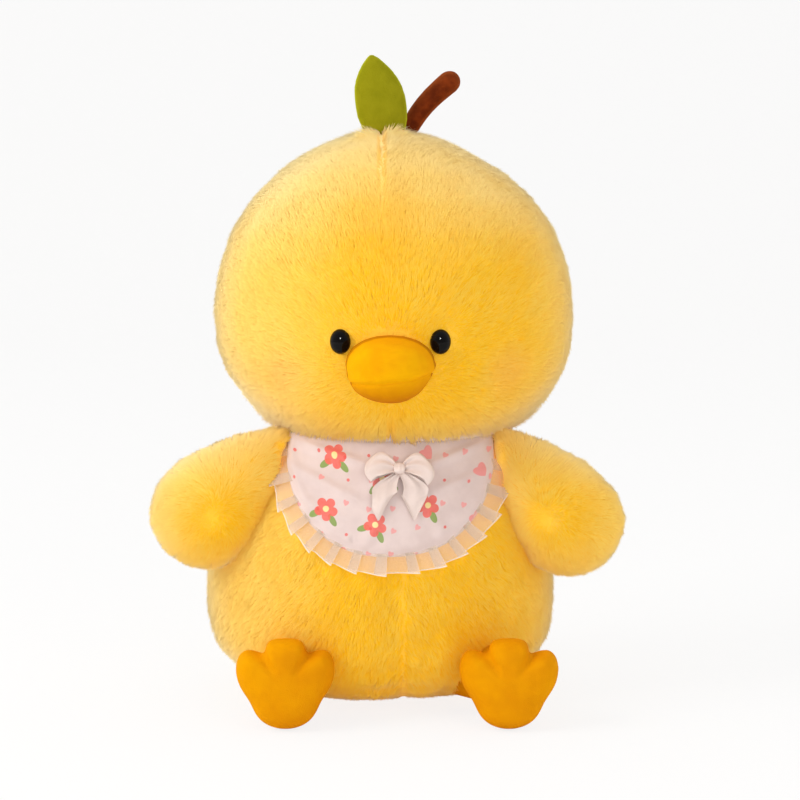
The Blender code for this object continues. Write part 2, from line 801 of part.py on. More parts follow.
def make_stem(head_room):
    """A stuffed stem: a bowed tube that thickens to a round end."""
    start = Vector((STEM_BASE_X, STEM_Y, STEM_BASE_Z))
    end = Vector((STEM_END_X, STEM_Y, STEM_END_Z))
    along = (end - start).normalized()
    outward = Vector((along.z, 0.0, -along.x))
    rings = []
    for i in range(STEM_RINGS + 1):
        share = i / STEM_RINGS
        centre = start.lerp(end, share) + outward * STEM_BOW * math.sin(math.pi * share)
        bend = math.pi * STEM_BOW / (end - start).length * math.cos(math.pi * share)
        heading = (along + outward * bend).normalized()
        radius = STEM_BASE_RADIUS + (STEM_END_RADIUS - STEM_BASE_RADIUS) * share
        rings.append(tube_ring(centre, heading, radius))
    for i in range(1, STEM_DOME_RINGS + 1):
        turn = math.pi / 2 * i / STEM_DOME_RINGS
        centre = end + heading * STEM_END_RADIUS * math.sin(turn)
        rings.append(tube_ring(centre, heading, STEM_END_RADIUS * math.cos(turn)))
    stem = solid_from_rings("stem", rings, "brown_pile", PILE_BROWN)
    cut(stem, head_room)


def tube_ring(centre, heading, radius):
    """A circle of points square to a heading in the XZ plane."""
    up = Vector((0.0, 1.0, 0.0))
    side = heading.cross(up)
    return [
        centre + radius * (
            side * math.cos(FULL_TURN * k / STEM_SIDES) + up * math.sin(FULL_TURN * k / STEM_SIDES)
        )
        for k in range(STEM_SIDES)
    ]


def bib_top():
    """The level of the bib's upper edge, just under the neck seam."""
    return NECK_Z - GAP


def bib_place(angle, reach_share, extra):
    """A place on the front view of the bib, at an angle from straight down.

    The reach is a share of the panel's size, plus an extra width.
    """
    power = 2 / BIB_CURVE_POWER
    taper = 1 - BIB_TOP_TAPER_SHARE * (1 - math.cos(angle)) ** 3
    across = taper * math.copysign(abs(math.sin(angle)) ** power, math.sin(angle))
    down = max(math.cos(angle), 0.0) ** power
    width = BIB_HALF_WIDTH * reach_share + extra
    drop = BIB_DROP * reach_share + extra
    return width * across, bib_top() - drop * down


def bib_angles(columns):
    """Angles from the bib's one upper corner, round the bottom, to the other."""
    return [-math.pi / 2 + math.pi * i / columns for i in range(columns + 1)]


def laid_rows(offset, extra):
    """Rows of points of a half disc laid on the chest at an offset, from its top middle to its rim."""
    form = BODY.grown(offset)
    made = []
    for j in range(BIB_ROWS + 1):
        share = j / BIB_ROWS
        made.append([
            form.front_point(*bib_place(angle, share, extra * share))
            for angle in bib_angles(BIB_COLUMNS)
        ])
    return made


def half_disc(name, inner, outer, extra, finish_name, finish):
    """A half disc of cloth laid on the chest, between two offsets."""
    bm = bmesh.new()
    back = corner_loops(bm, laid_rows(inner, extra))
    face = corner_loops(bm, laid_rows(outer, extra))
    skin(bm, back, closed=False)
    skin(bm, face, closed=False)
    skin(bm, [back[-1], face[-1]], closed=False)
    for end in (0, -1):
        skin(bm, [[row[end] for row in back], [row[end] for row in face]], closed=False)
    made = add_mesh(name, bm)
    made.data.materials.append(material(finish_name, finish))
    return made


def make_bib():
    """Lining, satin panel, ruffle, and the band that carries them."""
    lining_out = BIB_LAY + BIB_LINING_THICK
    panel_in = lining_out + GAP
    half_disc("bib_lining", BIB_LAY, lining_out, 0.0, "white_cotton", COTTON_WHITE)
    half_disc("bib_panel", panel_in, panel_top(), 0.0, "white_satin", SATIN_WHITE)
    make_ruffle()
    make_band()


def panel_top():
    """How far the bib's face stands off the fur."""
    return BIB_LAY + BIB_LINING_THICK + GAP + BIB_PANEL_THICK


def ruffle_rise(column):
    """How far the ruffle's free edge lifts at a column: a row of soft pleats."""
    turn = FULL_TURN * column / RUFFLE_STEPS
    return RUFFLE_RISE * (1 - math.cos(turn)) / 2


def make_ruffle():
    """The pleated strip round the panel's rim, flat at its seam and wavy at its free edge."""
    columns = RUFFLE_PLEATS * RUFFLE_STEPS
    angles = bib_angles(columns)
    bm = bmesh.new()
    loops = []
    for extra, lift in ((GAP, 0.0), (GAP + RUFFLE_DEPTH, 1.0)):
        places = [bib_place(angle, 1.0, extra) for angle in angles]
        low = [RUFFLE_SEAT + lift * ruffle_rise(i) for i in range(columns + 1)]
        for thick in (0.0, RUFFLE_THICK):
            loops.append([
                bm.verts.new(BODY.grown(offset + thick).front_point(*spot))
                for offset, spot in zip(low, places)
            ])
    around = [loops[0], loops[2], loops[3], loops[1], loops[0]]
    skin(bm, around, closed=False)
    for end in (0, -1):
        bm.faces.new([row[end] for row in around[:-1]])
    made = add_mesh("bib_ruffle", bm)
    made.data.materials.append(material("peach_organza", ORGANZA_PEACH))


def make_band():
    """A satin band round the neck, under the head, from which the bib hangs."""
    low = NECK_Z + GAP
    inner = HEAD.grown(GAP)
    outer = HEAD.grown(GAP + BAND_THICK)
    bm = bmesh.new()
    rings = [
        inner.rings(low, low + BAND_HEIGHT, 1, BAND_SIDES),
        outer.rings(low, low + BAND_HEIGHT, 1, BAND_SIDES),
    ]
    loops = [[bm.verts.new(p) for p in ring] for pair in rings for ring in pair]
    skin(bm, [loops[0], loops[1], loops[3], loops[2], loops[0]])
    made = add_mesh("neck_band", bm)
    made.data.materials.append(material("white_satin", SATIN_WHITE))


def bow_matrix():
    """The place of the bow: -Y stands off the bib, and +Z runs up it."""
    form = BODY.grown(panel_top() + GAP)
    inward = -form.front_normal(BOW_X, BOW_Z)
    across = inward.cross(Vector((0.0, 0.0, 1.0))).normalized()
    up = across.cross(inward)
    turn = Matrix((across, inward, up)).transposed().to_4x4()
    return Matrix.Translation(form.front_point(BOW_X, BOW_Z)) @ turn


def make_knot(where):
    """The knot: a small puffed cube, rounded on all its edges."""
    bm = bmesh.new()
    bmesh.ops.create_cube(bm, size=1.0)
    size = (2 * BOW_KNOT_HALF_WIDTH, BOW_KNOT_DEPTH, 2 * BOW_KNOT_HALF_HEIGHT)
    bmesh.ops.scale(bm, vec=size, verts=bm.verts)
    bmesh.ops.translate(bm, vec=(0.0, -BOW_KNOT_DEPTH / 2, 0.0), verts=bm.verts)
    bmesh.ops.bevel(bm, geom=bm.edges[:], offset=BOW_KNOT_EDGE, segments=2, affect="EDGES")
    made = add_mesh("bow_knot", bm)
    made.data.materials.append(material("ivory_ribbon", RIBBON_IVORY))
    return place(made, where)


def loop_outline(inset):
    """Corners of a ribbon loop seen from its edge: pinched at the knot and round at its far end."""
    points = []
    half = BOW_LOOP_DEPTH / 2
    length = BOW_LOOP_LENGTH - 2 * inset
    for i in range(BOW_LOOP_STEPS):
        turn = FULL_TURN * i / BOW_LOOP_STEPS
        share = (1 - math.cos(turn)) / 2
        depth = (half - inset) * math.sin(turn) * (1 + share) / 2
        points.append((inset + length * share, half + depth, share))
    return points


def make_loop(side, where):
    """One loop of the bow, whose ribbon flares away from the knot."""
    sign = SIDES[side]
    bm = bmesh.new()
    loops = []
    for inset in (0.0, BOW_RIBBON_THICK):
        outline = loop_outline(inset)
        for end in (-1, 1):
            loops.append([
                bm.verts.new((
                    x,
                    -y,
                    end * (BOW_LOOP_PINCH + (BOW_LOOP_FLARE - BOW_LOOP_PINCH) * share),
                ))
                for x, y, share in outline
            ])
    skin(bm, [loops[0], loops[1], loops[3], loops[2], loops[0]])
    bmesh.ops.scale(bm, vec=(sign, 1.0, 1.0), verts=bm.verts)
    made = add_mesh(f"bow_loop_{side}", bm)
    made.data.materials.append(material("ivory_ribbon", RIBBON_IVORY))
    lift = Matrix.Rotation(-sign * BOW_LOOP_LIFT, 4, "Y")
    clear = GAP + BOW_LOOP_PINCH * math.sin(BOW_LOOP_LIFT)
    start = Matrix.Translation((sign * (BOW_KNOT_HALF_WIDTH + clear), 0.0, 0.0))
    return place(made, where @ start @ lift)


def make_tail(side):
    """One tail of the bow: a ribbon end, cut slanting, that lies on the bib under the knot."""
    sign = SIDES[side]
    form = (BODY.grown(panel_top() + GAP), BODY.grown(panel_top() + GAP + BOW_RIBBON_THICK))
    root = Vector((BOW_X + sign * BOW_TAIL_ROOT, BOW_Z - BOW_KNOT_HALF_HEIGHT - GAP))
    down = Vector((sign * math.sin(BOW_TAIL_TILT), -math.cos(BOW_TAIL_TILT)))
    across = Vector((-down.y, down.x)) * sign
    bm = bmesh.new()
    rows = []
    for i in range(BOW_TAIL_STEPS + 1):
        share = i / BOW_TAIL_STEPS
        half = BOW_TAIL_ROOT + (BOW_TAIL_FLARE - BOW_TAIL_ROOT) * math.sqrt(share)
        inner = root + down * BOW_TAIL_LENGTH * share * (1 - BOW_TAIL_SLANT_SHARE) - across * half
        outer = root + down * BOW_TAIL_LENGTH * share + across * half
        inner.x = sign * max(sign * (inner.x - BOW_X), GAP) + BOW_X
        rows.append([
            bm.verts.new(form[0].front_point(*inner)),
            bm.verts.new(form[1].front_point(*inner)),
            bm.verts.new(form[1].front_point(*outer)),
            bm.verts.new(form[0].front_point(*outer)),
        ])
    skin(bm, rows)
    bm.faces.new(rows[0])
    bm.faces.new(rows[-1])
    made = add_mesh(f"bow_tail_{side}", bm)
    made.data.materials.append(material("ivory_ribbon", RIBBON_IVORY))


def make_bow():
    """Knot, loops and tails on the bib."""
    where = bow_matrix()
    make_knot(where)
    for side in SIDES:
        make_loop(side, where)
        make_tail(side)


def build():
    """The whole duck, from the body outward."""
    for old in list(bpy.data.objects):
        bpy.data.objects.remove(old, do_unlink=True)
    body_room = body_zone(GAP)
    head_room = head_zone("head_zone", GAP)
    middle_room = shoulder_zone()
    bib_out = RUFFLE_SEAT + RUFFLE_RISE + RUFFLE_THICK + RUFFLE_CLEAR
    bib_width = RUFFLE_DEPTH + RUFFLE_CLEAR
    bib_room = guide(half_disc("bib_zone", -GAP, bib_out, bib_width, "guide", SATIN_WHITE))
    make_body()
    cover, stuffing = make_head()
    for side in SIDES:
        make_wing(side, body_room, middle_room, bib_room)
        make_foot(side, body_room)
        make_eye(side, cover, stuffing)
    make_bill(head_room)
    make_leaf(head_room)
    make_stem(head_room)
    make_bib()
    make_bow()


build()
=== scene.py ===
# %% [markdown]
# # A yellow plush duck
# The toy sits upright: a fur body and head, two stuffed wings, two velvet feet and a bill, a
# satin bib with a pleated ruffle and a bow, and a leaf and a stem on its crown. The solids
# of the part come in as a fixed frame. Every piece below is dressed over them, in metres and
# in the same place, so nothing has to be fitted afterwards.

import json
import math

import bpy
import numpy as np
from mathutils import Matrix, Vector
from mathutils.bvhtree import BVHTree

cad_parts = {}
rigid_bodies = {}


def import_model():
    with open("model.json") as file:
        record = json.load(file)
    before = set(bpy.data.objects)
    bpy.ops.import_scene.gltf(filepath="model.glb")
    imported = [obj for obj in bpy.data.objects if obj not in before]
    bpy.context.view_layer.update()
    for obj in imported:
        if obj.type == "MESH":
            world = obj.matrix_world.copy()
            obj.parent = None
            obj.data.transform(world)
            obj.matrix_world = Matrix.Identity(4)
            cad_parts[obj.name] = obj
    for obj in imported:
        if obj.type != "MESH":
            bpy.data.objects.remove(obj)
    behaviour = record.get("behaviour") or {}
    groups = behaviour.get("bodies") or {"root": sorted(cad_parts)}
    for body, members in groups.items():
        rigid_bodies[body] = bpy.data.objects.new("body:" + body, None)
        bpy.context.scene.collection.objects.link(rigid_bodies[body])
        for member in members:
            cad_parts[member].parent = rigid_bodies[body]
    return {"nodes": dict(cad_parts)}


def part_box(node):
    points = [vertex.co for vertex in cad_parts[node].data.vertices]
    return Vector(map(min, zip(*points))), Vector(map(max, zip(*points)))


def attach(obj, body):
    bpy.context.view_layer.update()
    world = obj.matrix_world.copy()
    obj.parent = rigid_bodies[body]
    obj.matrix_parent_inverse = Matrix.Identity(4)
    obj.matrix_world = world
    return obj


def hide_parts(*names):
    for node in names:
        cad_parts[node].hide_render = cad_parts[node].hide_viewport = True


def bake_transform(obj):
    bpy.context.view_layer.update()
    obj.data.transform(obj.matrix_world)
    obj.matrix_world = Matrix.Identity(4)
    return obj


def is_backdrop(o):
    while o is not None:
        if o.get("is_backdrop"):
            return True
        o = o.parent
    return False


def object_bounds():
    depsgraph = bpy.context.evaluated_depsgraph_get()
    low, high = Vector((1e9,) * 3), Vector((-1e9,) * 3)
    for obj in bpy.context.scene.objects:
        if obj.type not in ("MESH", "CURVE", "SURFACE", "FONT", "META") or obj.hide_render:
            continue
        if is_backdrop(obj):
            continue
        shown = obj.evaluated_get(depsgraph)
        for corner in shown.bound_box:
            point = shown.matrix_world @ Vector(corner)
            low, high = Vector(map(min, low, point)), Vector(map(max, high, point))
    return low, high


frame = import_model()
solid_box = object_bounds()
FULL_TURN = 2 * math.pi
SIDES = {"left": 1, "right": -1}

# %% [markdown]
# ## Camera
# The photograph looks straight at the duck's face from a little above. The camera stands
# 1.6 m away, a usual distance for a table-top picture, so the feet look a bit larger than
# the head. The lens is chosen so that the duck fills the square picture as it does there.

# %% Camera
CAMERA_TARGET = Vector((0.005, 0.0, 0.163))
CAMERA_DISTANCE = 1.6
CAMERA_RAISE = math.radians(9)
CAMERA_FIELD = 0.44

bpy.ops.object.camera_add(
    location=CAMERA_TARGET
    + CAMERA_DISTANCE * Vector((0, -math.cos(CAMERA_RAISE), math.sin(CAMERA_RAISE))),
    rotation=(math.pi / 2 - CAMERA_RAISE, 0, 0),
)
camera = bpy.context.object
camera.data.sensor_width = 36
camera.data.lens = camera.data.sensor_width * CAMERA_DISTANCE / CAMERA_FIELD
bpy.context.scene.camera = camera
bpy.context.scene.view_settings.view_transform = "Standard"
print("lens:", round(camera.data.lens, 1), "mm")

# %% [markdown]
# ## Wires and paints
# A material is a net of nodes. Two small classes keep that readable: a wire is one output,
# and sums on it add their own nodes; a paint is one material, with a single way to add any
# node. Colours are written as they look on a screen, from 0 to 255, and are turned into the
# linear values that the renderer wants.


# %% Wires and paints
def shade(red, green, blue):
    """A screen colour as linear light."""
    parts = [value / 255 for value in (red, green, blue)]
    return (*[p / 12.92 if p <= 0.04045 else ((p + 0.055) / 1.055) ** 2.4 for p in parts], 1.0)


class Wire:
    """One output of a node. Sums on it add Math nodes."""

    def __init__(self, paint, socket):
        self.paint = paint
        self.socket = socket

    def __add__(self, other):
        return self.paint.sum("ADD", self, other)

    def __sub__(self, other):
        return self.paint.sum("SUBTRACT", self, other)

    def __rsub__(self, other):
        return self.paint.sum("SUBTRACT", other, self)

    def __mul__(self, other):
        return self.paint.sum("MULTIPLY", self, other)

    def __truediv__(self, other):
        return self.paint.sum("DIVIDE", self, other)

    def __pow__(self, other):
        return self.paint.sum("POWER", self, other)

    __radd__ = __add__
    __rmul__ = __mul__


class Paint:
    """One material, built around a Principled shader."""

    def __init__(self, name, **constants):
        self.material = bpy.data.materials.new(name)
        self.material.use_nodes = True
        self.tree = self.material.node_tree
        self.shader = self.tree.nodes["Principled BSDF"]
        self.feed(**{key.replace("_", " ").title(): value for key, value in constants.items()})

    def plug(self, socket, value):
        if isinstance(value, Wire):
            self.tree.links.new(value.socket, socket)
        else:
            socket.default_value = value

    def feed(self, **values):
        """Sets or links sockets of the Principled shader."""
        for name, value in values.items():
            if name == "Specular Level":
                name = "Specular IOR Level"
            self.plug(self.shader.inputs[name], value)

    def node(self, kind, settings=None, inputs=None, output=0):
        """Adds any node: its settings first, then its sockets."""
        made = self.tree.nodes.new("ShaderNode" + kind)
        for name, value in (settings or {}).items():
            if name == "stops":
                ramp = made.color_ramp.elements
                while len(ramp) < len(value):
                    ramp.new(0.5)
                for stop, (place, colour) in zip(ramp, value):
                    stop.position = place
                    stop.color = colour
            else:
                setattr(made, name, value)
        for name, value in (inputs or {}).items():
            self.plug(made.inputs[name], value)
        return Wire(self, made.outputs[output])

    def sum(self, operation, first, second=0.0):
        return self.node("Math", {"operation": operation}, {0: first, 1: second})

    def step(self, value, start, end):
        """0 before start, 1 after end, and a smooth rise between them."""
        settings = {"interpolation_type": "SMOOTHSTEP"}
        return self.node("MapRange", settings, {"Value": value, "From Min": start, "From Max": end})

    def mix(self, share, first, second):
        """One colour or the other, by share."""
        return self.node("Mix", {"data_type": "RGBA"}, {0: share, 6: first, 7: second}, output=2)

    def place(self):
        """Where a point of the piece is, in metres."""
        return self.node("TexCoord", output="Object")

    def facing(self):
        """The direction in which the surface looks."""
        return self.node("TexCoord", output="Normal")

    def away(self, where, centre):
        """How far a place is from a centre."""
        return self.node("VectorMath", {"operation": "DISTANCE"}, {0: where, 1: centre}, "Value")

    def axes(self, vector):
        """The three numbers of a vector."""
        split = self.tree.nodes.new("ShaderNodeSeparateXYZ")
        self.plug(split.inputs[0], vector)
        return [Wire(self, out) for out in split.outputs]

    def noise(self, scale, detail=2.0, roughness=0.5, where=None):
        """A soft random pattern over the piece, or over the places that are given."""
        return self.node("TexNoise", None, {
            "Vector": where or self.place(), "Scale": scale, "Detail": detail,
            "Roughness": roughness,
        })

    def bump(self, height, depth):
        """A bump of so many metres, fed to the shader's normal."""
        normal = self.node("Bump", None, {"Height": height, "Distance": depth, "Strength": 1.0})
        self.plug(self.shader.inputs["Normal"], normal)


# %% [markdown]
# ## Finishes
# The fur is a deep yellow at its root and pale at its tip, because light gets in between the
# fibres at the tips. Painted light makes it paler where it faces up, aside and towards the key
# lamp, and each tuft has a tint of its own. Painted shade keeps the seams and the hollow over
# the bill deep; a wing is painted deep in its dimple as shade and paler away from it as light.
# Two faint pink rounds are brushed on the cheeks. A little warm emission stands for the light
# that soaks through the pile, which would take far more light bounces to compute.

# %% Fur finishes
FUR_ROOT = shade(255, 180, 0)
FUR_MIDDLE = shade(255, 200, 26)
FUR_TIP = shade(255, 220, 98)
FUR_STOPS = ((0.0, FUR_ROOT), (0.45, FUR_MIDDLE), (1.0, FUR_TIP))
FUR_BACK = shade(246, 188, 36), shade(250, 204, 74)
FUR_SOAKED = shade(255, 178, 8)
FUR_PAINTED_LIGHT = shade(255, 240, 176)
FUR_BLOOM = (1.0, 0.88, 0.58, 1.0)
SOAKED_LIGHT = 0.21
BRUSHED_SHARE = 0.26
# Painted light: how much paler the fur is where it faces aside, up and towards the key lamp
ASIDE_LIGHT_SHARE, TOP_LIGHT_SHARE, KEY_LAMP_LIGHT_SHARE = 0.38, 0.44, 0.22
BLUSH, BLUSH_SHARE = shade(248, 172, 118), 0.26
CHEEKS = ((-0.058, -0.070, 0.187), (0.064, -0.067, 0.188))
CHEEK_REACH = 0.023
# Painted shade in the hollow over the bill: its middle, reach and share
BROW, BROW_REACH, BROW_SHADE_SHARE = (-0.003, -0.075, 0.268), 0.034, 0.34
# Painted shade on crown, chin and belly seams: across, where each starts, is full and ends, share
SEAM_SHADE_LINES = (
    (-0.0046, 0.278, 0.300, 0.330, 0.60),
    (0.0003, 0.146, 0.149, 0.160, 0.50),
    (0.0068, 0.004, 0.010, 0.040, 0.30),
)
SEAM_WIDE, SEAM_END = 0.0034, 0.008
# Painted shade in a wing's dimple and painted light away from it: dimple, reach, share
WING_DIMPLE, WING_SHADE_REACH, WING_LIGHT_SHARE = (0.090, 0.052, 0.1075), (0.006, 0.034), 0.24


def blushed(paint, colour):
    """The colour, pinker on the two cheeks."""
    where = paint.place()
    for cheek in CHEEKS:
        round_cheek = 1 - paint.step(paint.away(where, cheek), 0.1 * CHEEK_REACH, CHEEK_REACH)
        colour = paint.mix(BLUSH_SHARE * round_cheek, colour, BLUSH)
    return colour


def painted_light_paler(paint, colour):
    """Painted light: the colour is paler where the pile faces up, aside and to the key lamp."""
    across, front, up = paint.axes(paint.facing())
    beside = paint.step(front, -0.78, 0.0)
    above = paint.step(up, 0.30, 0.95)
    lit_by_key_lamp = paint.step(across, -0.15, -0.75)
    share = ASIDE_LIGHT_SHARE * beside + TOP_LIGHT_SHARE * above + KEY_LAMP_LIGHT_SHARE * lit_by_key_lamp
    return paint.mix(share, colour, FUR_PAINTED_LIGHT)


def painted_seam_shade(paint, colour):
    """Painted shade: the colour is deeper along the seams and in the soft hollow over the bill."""
    where = paint.place()
    across, front, up = paint.axes(where)
    ahead = 1 - paint.step(front, -0.02, 0.0)
    deep = BROW_SHADE_SHARE * (1 - paint.step(paint.away(where, BROW), 0.1 * BROW_REACH, BROW_REACH))
    for middle, low, full, high, share in SEAM_SHADE_LINES:
        off = across - middle
        line = 1 - paint.step(off * off, 0.0, SEAM_WIDE ** 2)
        between = paint.step(up, low, full) * (1 - paint.step(up, high, high + SEAM_END))
        deep = deep + share * line * between * ahead
    return paint.mix(deep, colour, FUR_ROOT)


def wing_painted_light_and_shade(paint, colour):
    """A wing's colour: painted shade deep in its dimple, painted light paler away from it."""
    either_side = paint.node("VectorMath", {"operation": "ABSOLUTE"}, {0: paint.place()})
    share = WING_LIGHT_SHARE * paint.step(paint.away(either_side, WING_DIMPLE), *WING_SHADE_REACH)
    return paint.mix(share, colour, FUR_PAINTED_LIGHT)


def feed_fur(paint, colour):
    """Feeds the colour, with the light that soaks through the pile."""
    paint.feed(**{
        "Base Color": colour, "Emission Color": FUR_SOAKED, "Emission Strength": SOAKED_LIGHT,
    })
    return paint.material


def fur_skin(name):
    """The knitted back of the fur fabric, seen only between the tufts."""
    paint = Paint(name, roughness=0.95, specular_level=0.1, sheen_weight=0.3)
    colour = paint.mix(paint.noise(40.0), *FUR_BACK)
    paint.bump(paint.noise(900.0, 3.0), 0.0006)
    # Painted light makes the backing paler where it faces up, aside and towards the key lamp
    return feed_fur(paint, blushed(paint, painted_light_paler(paint, colour)))


def fur_pile(name, painted_on_form):
    """The tufts: deep at the root, pale at the tip, with painted light and shade on each form."""
    paint = Paint(name, roughness=0.9, specular_level=0.05, sheen_weight=1.0, sheen_roughness=0.42)
    paint.feed(**{"Sheen Tint": FUR_BLOOM})
    strand = paint.node("Attribute", {"attribute_name": "strand"}, output="Color")
    height, tint, patch = paint.axes(strand)
    slow = paint.step(paint.noise(28.0, 1.0), 0.35, 0.65)
    rise = height ** 0.8 * (0.80 + 0.20 * slow) + 0.16 * (tint - 0.5)
    colour = paint.node("ValToRGB", {"stops": FUR_STOPS}, {"Fac": rise})
    colour = paint.mix(BRUSHED_SHARE * patch, colour, FUR_ROOT)
    # Painted light pales the tufts where they face up, aside and to the key lamp; each form adds its
    # own painted light and shade
    return feed_fur(paint, painted_on_form(paint, blushed(paint, painted_light_paler(paint, colour))))


SKIN = fur_skin("fur_backing")
PILE = fur_pile("fur_pile", painted_seam_shade)
WING_PILE = fur_pile("fur_pile_wings", wing_painted_light_and_shade)
print("fur finishes:", SKIN.name, PILE.name, WING_PILE.name)

# %% [markdown]
# ## Velvet
# The bill and the feet are cut from a short velvet. Such a pile shows no single fibres, only
# a soft bloom where it is seen edge on, and slightly darker and lighter strokes where it was
# brushed. The leaf and the stem are made of the same kind of cloth in other colours, with a
# painted sheen on their rims. The bill has painted shade where it meets the head, and its
# lower lobe has painted shade that darkens it towards the bottom.

# %% Velvet finishes
# Painted shade where the bill meets the head: its brown, its share, and where it starts and is full
ROOT_SHADE_BROWN, ROOT_SHADE_SHARE = shade(168, 88, 0), 0.6
BILL_ROOT_SHADE = (-0.0960, -0.0925)
# Painted shade on the lower lobe: the heights over which it lightens, and its share
LIP_SHADE_HEIGHTS, LIP_SHADE_SHARE = (0.177, 0.192), 0.75
# Painted sheen on the rims of the leaf and the stem: its share
RIM_SHEEN_SHARE = 0.8


def velvet(name, deep, bright, strokes, rim=None, shade_below=None, seam=None):
    """A short pile in two close shades, with painted sheen and painted shade where asked."""
    paint = Paint(name, specular_level=0.05, sheen_weight=0.08, sheen_roughness=0.4)
    paint.feed(**{"Sheen Tint": deep})
    slow = paint.noise(strokes, 3.0, 0.6)
    share = paint.step(slow, 0.3, 0.7)
    # Painted shade: the velvet darkens towards the bottom
    if shade_below:
        level = paint.axes(paint.place())[2]
        share = (1 - LIP_SHADE_SHARE) * share + LIP_SHADE_SHARE * paint.step(level, *shade_below)
    colour = paint.mix(share, deep, bright)
    # Painted sheen: paler where the velvet faces neither front nor back
    if rim:
        edge = 1 - paint.step(paint.sum("ABSOLUTE", paint.axes(paint.facing())[1]), 0.2, 0.95)
        colour = paint.mix(edge * RIM_SHEEN_SHARE, colour, rim)
    # Painted shade: darker towards the back, where the bill meets the head
    if seam:
        pressed = paint.step(paint.axes(paint.place())[1], *seam)
        colour = paint.mix(ROOT_SHADE_SHARE * pressed, colour, ROOT_SHADE_BROWN)
    paint.feed(**{"Base Color": colour})
    fine = paint.noise(2600.0, 2.0)
    paint.feed(Roughness=0.74 + 0.16 * fine)
    paint.bump(fine + 2.0 * slow, 0.00025)
    return paint.material


VELVET_ORANGE = velvet("orange_velvet", shade(226, 146, 0), shade(238, 162, 0), 38.0)
# The bill's velvet has painted shade where it meets the head
VELVET_BILL = velvet(
    "bill_velvet", shade(238, 160, 0), shade(246, 178, 0), 45.0, seam=BILL_ROOT_SHADE
)
# The lower lobe wears a copy of the bill velvet with painted shade, darker towards the bottom
VELVET_LIP_SHADED = velvet(
    "lower_bill_velvet_shaded", shade(200, 118, 0), shade(242, 170, 0), 45.0,
    shade_below=LIP_SHADE_HEIGHTS, seam=BILL_ROOT_SHADE,
)
# The stem and the leaf have a painted sheen on their rims
VELVET_BROWN = velvet(
    "stem_velvet", shade(94, 34, 6), shade(128, 52, 14), 160.0, shade(150, 74, 30)
)
FELT_GREEN = velvet(
    "leaf_plush", shade(140, 138, 14), shade(150, 146, 20), 150.0, shade(188, 194, 40)
)
print("velvet finishes: 5")

# %% [markdown]
# ## Hands
# A few helpers stand for what a hand does in the window: pick one piece, settle its place into
# its mesh, finish it with a modifier, work on all of it in edit mode, and move its points.
# Everything is deselected first, because an operator acts on all that is selected.


# %% Hands
WELD_REACH = 0.00002


def pick(piece):
    """Only this piece is selected and active."""
    bpy.ops.object.select_all(action="DESELECT")
    piece.select_set(True)
    bpy.context.view_layer.objects.active = piece
    return piece


def add(operator, **settings):
    """A new piece from one of Blender's Add operators."""
    bpy.ops.object.select_all(action="DESELECT")
    operator(**settings)
    return bpy.context.object


def settle(piece):
    """Puts the piece's place, turn and size into its mesh."""
    pick(piece)
    bpy.ops.object.transform_apply(location=True, rotation=True, scale=True)
    return piece


def finish(piece, kind, **settings):
    """Adds a modifier and applies it."""
    pick(piece)
    step = piece.modifiers.new(kind.title(), kind)
    for name, value in settings.items():
        setattr(step, name, value)
    bpy.ops.object.modifier_apply(modifier=step.name)
    return piece


def on_all(piece, *steps):
    """Works through steps in edit mode, each on all of the piece."""
    pick(piece)
    bpy.ops.object.mode_set(mode="EDIT")
    for operator, settings in steps:
        bpy.ops.mesh.select_all(action="SELECT")
        operator(**settings)
    bpy.ops.object.mode_set(mode="OBJECT")
    return piece


def weld(piece, reach=WELD_REACH):
    """Merges corners that lie on one another."""
    return on_all(piece, (bpy.ops.mesh.remove_doubles, {"threshold": reach}))


def rows_of(piece, what):
    """A value of each corner of a piece, as rows of three numbers."""
    flat = np.empty(len(piece.data.vertices) * 3)
    piece.data.vertices.foreach_get(what, flat)
    return flat.reshape(-1, 3)


def points(piece):
    return rows_of(piece, "co")


def normals(piece):
    return rows_of(piece, "normal")


def unit(rows):
    return rows / np.maximum(np.linalg.norm(rows, axis=1, keepdims=True), 1e-12)


def set_points(piece, rows):
    piece.data.vertices.foreach_set("co", rows.ravel())
    piece.data.update()
    return piece


def near(value, place, reach):
    """1 at a place, fading to 0 over about the reach."""
    return np.exp(-(((value - place) / reach) ** 2))


def seen_from(spot, x, z):
    """How far places are from a point, as seen from the front."""
    return np.hypot(spot[:, 0] - x, spot[:, 2] - z)


def wear(piece, material):
    """Gives a piece its finish."""
    piece.data.materials.clear()
    piece.data.materials.append(material)
    return piece


def smooth(piece, angle=180):
    """Soft shading, with edges only where the faces meet at more than the angle."""
    pick(piece)
    bpy.ops.object.shade_smooth_by_angle(angle=math.radians(angle))
    return piece


# %% [markdown]
# ## Forms
# A stuffed form starts as a copy of the solid that it stands for. The copy is merged, closed
# by its hull where the solid is an open cover, and given an even net of squares by a voxel
# remesh, which is what cloth likes. A Displace modifier then draws it in or out along its
# normals, to leave room for the pile.


# %% Forms from the solids
FORM_WELD = 0.00001


def form_of(nodes, name, voxel, grow, hull=False, smoothing=6):
    """An even, closed net over the form of one or more solids, grown by so many metres."""
    pick(frame["nodes"][nodes[0]])
    for node in nodes:
        frame["nodes"][node].select_set(True)
    bpy.ops.object.duplicate()
    if len(nodes) > 1:
        bpy.ops.object.join()
    piece = bpy.context.object
    piece.name = name
    bpy.ops.object.parent_clear(type="CLEAR_KEEP_TRANSFORM")
    piece.data.materials.clear()
    weld(piece, FORM_WELD)
    if hull:
        on_all(piece, (bpy.ops.mesh.convex_hull, {}))
    settle(piece)
    finish(piece, "REMESH", mode="VOXEL", voxel_size=voxel)
    finish(piece, "SMOOTH", factor=0.5, iterations=smoothing)
    finish(piece, "DISPLACE", strength=grow, mid_level=0.0)
    return smooth(piece)


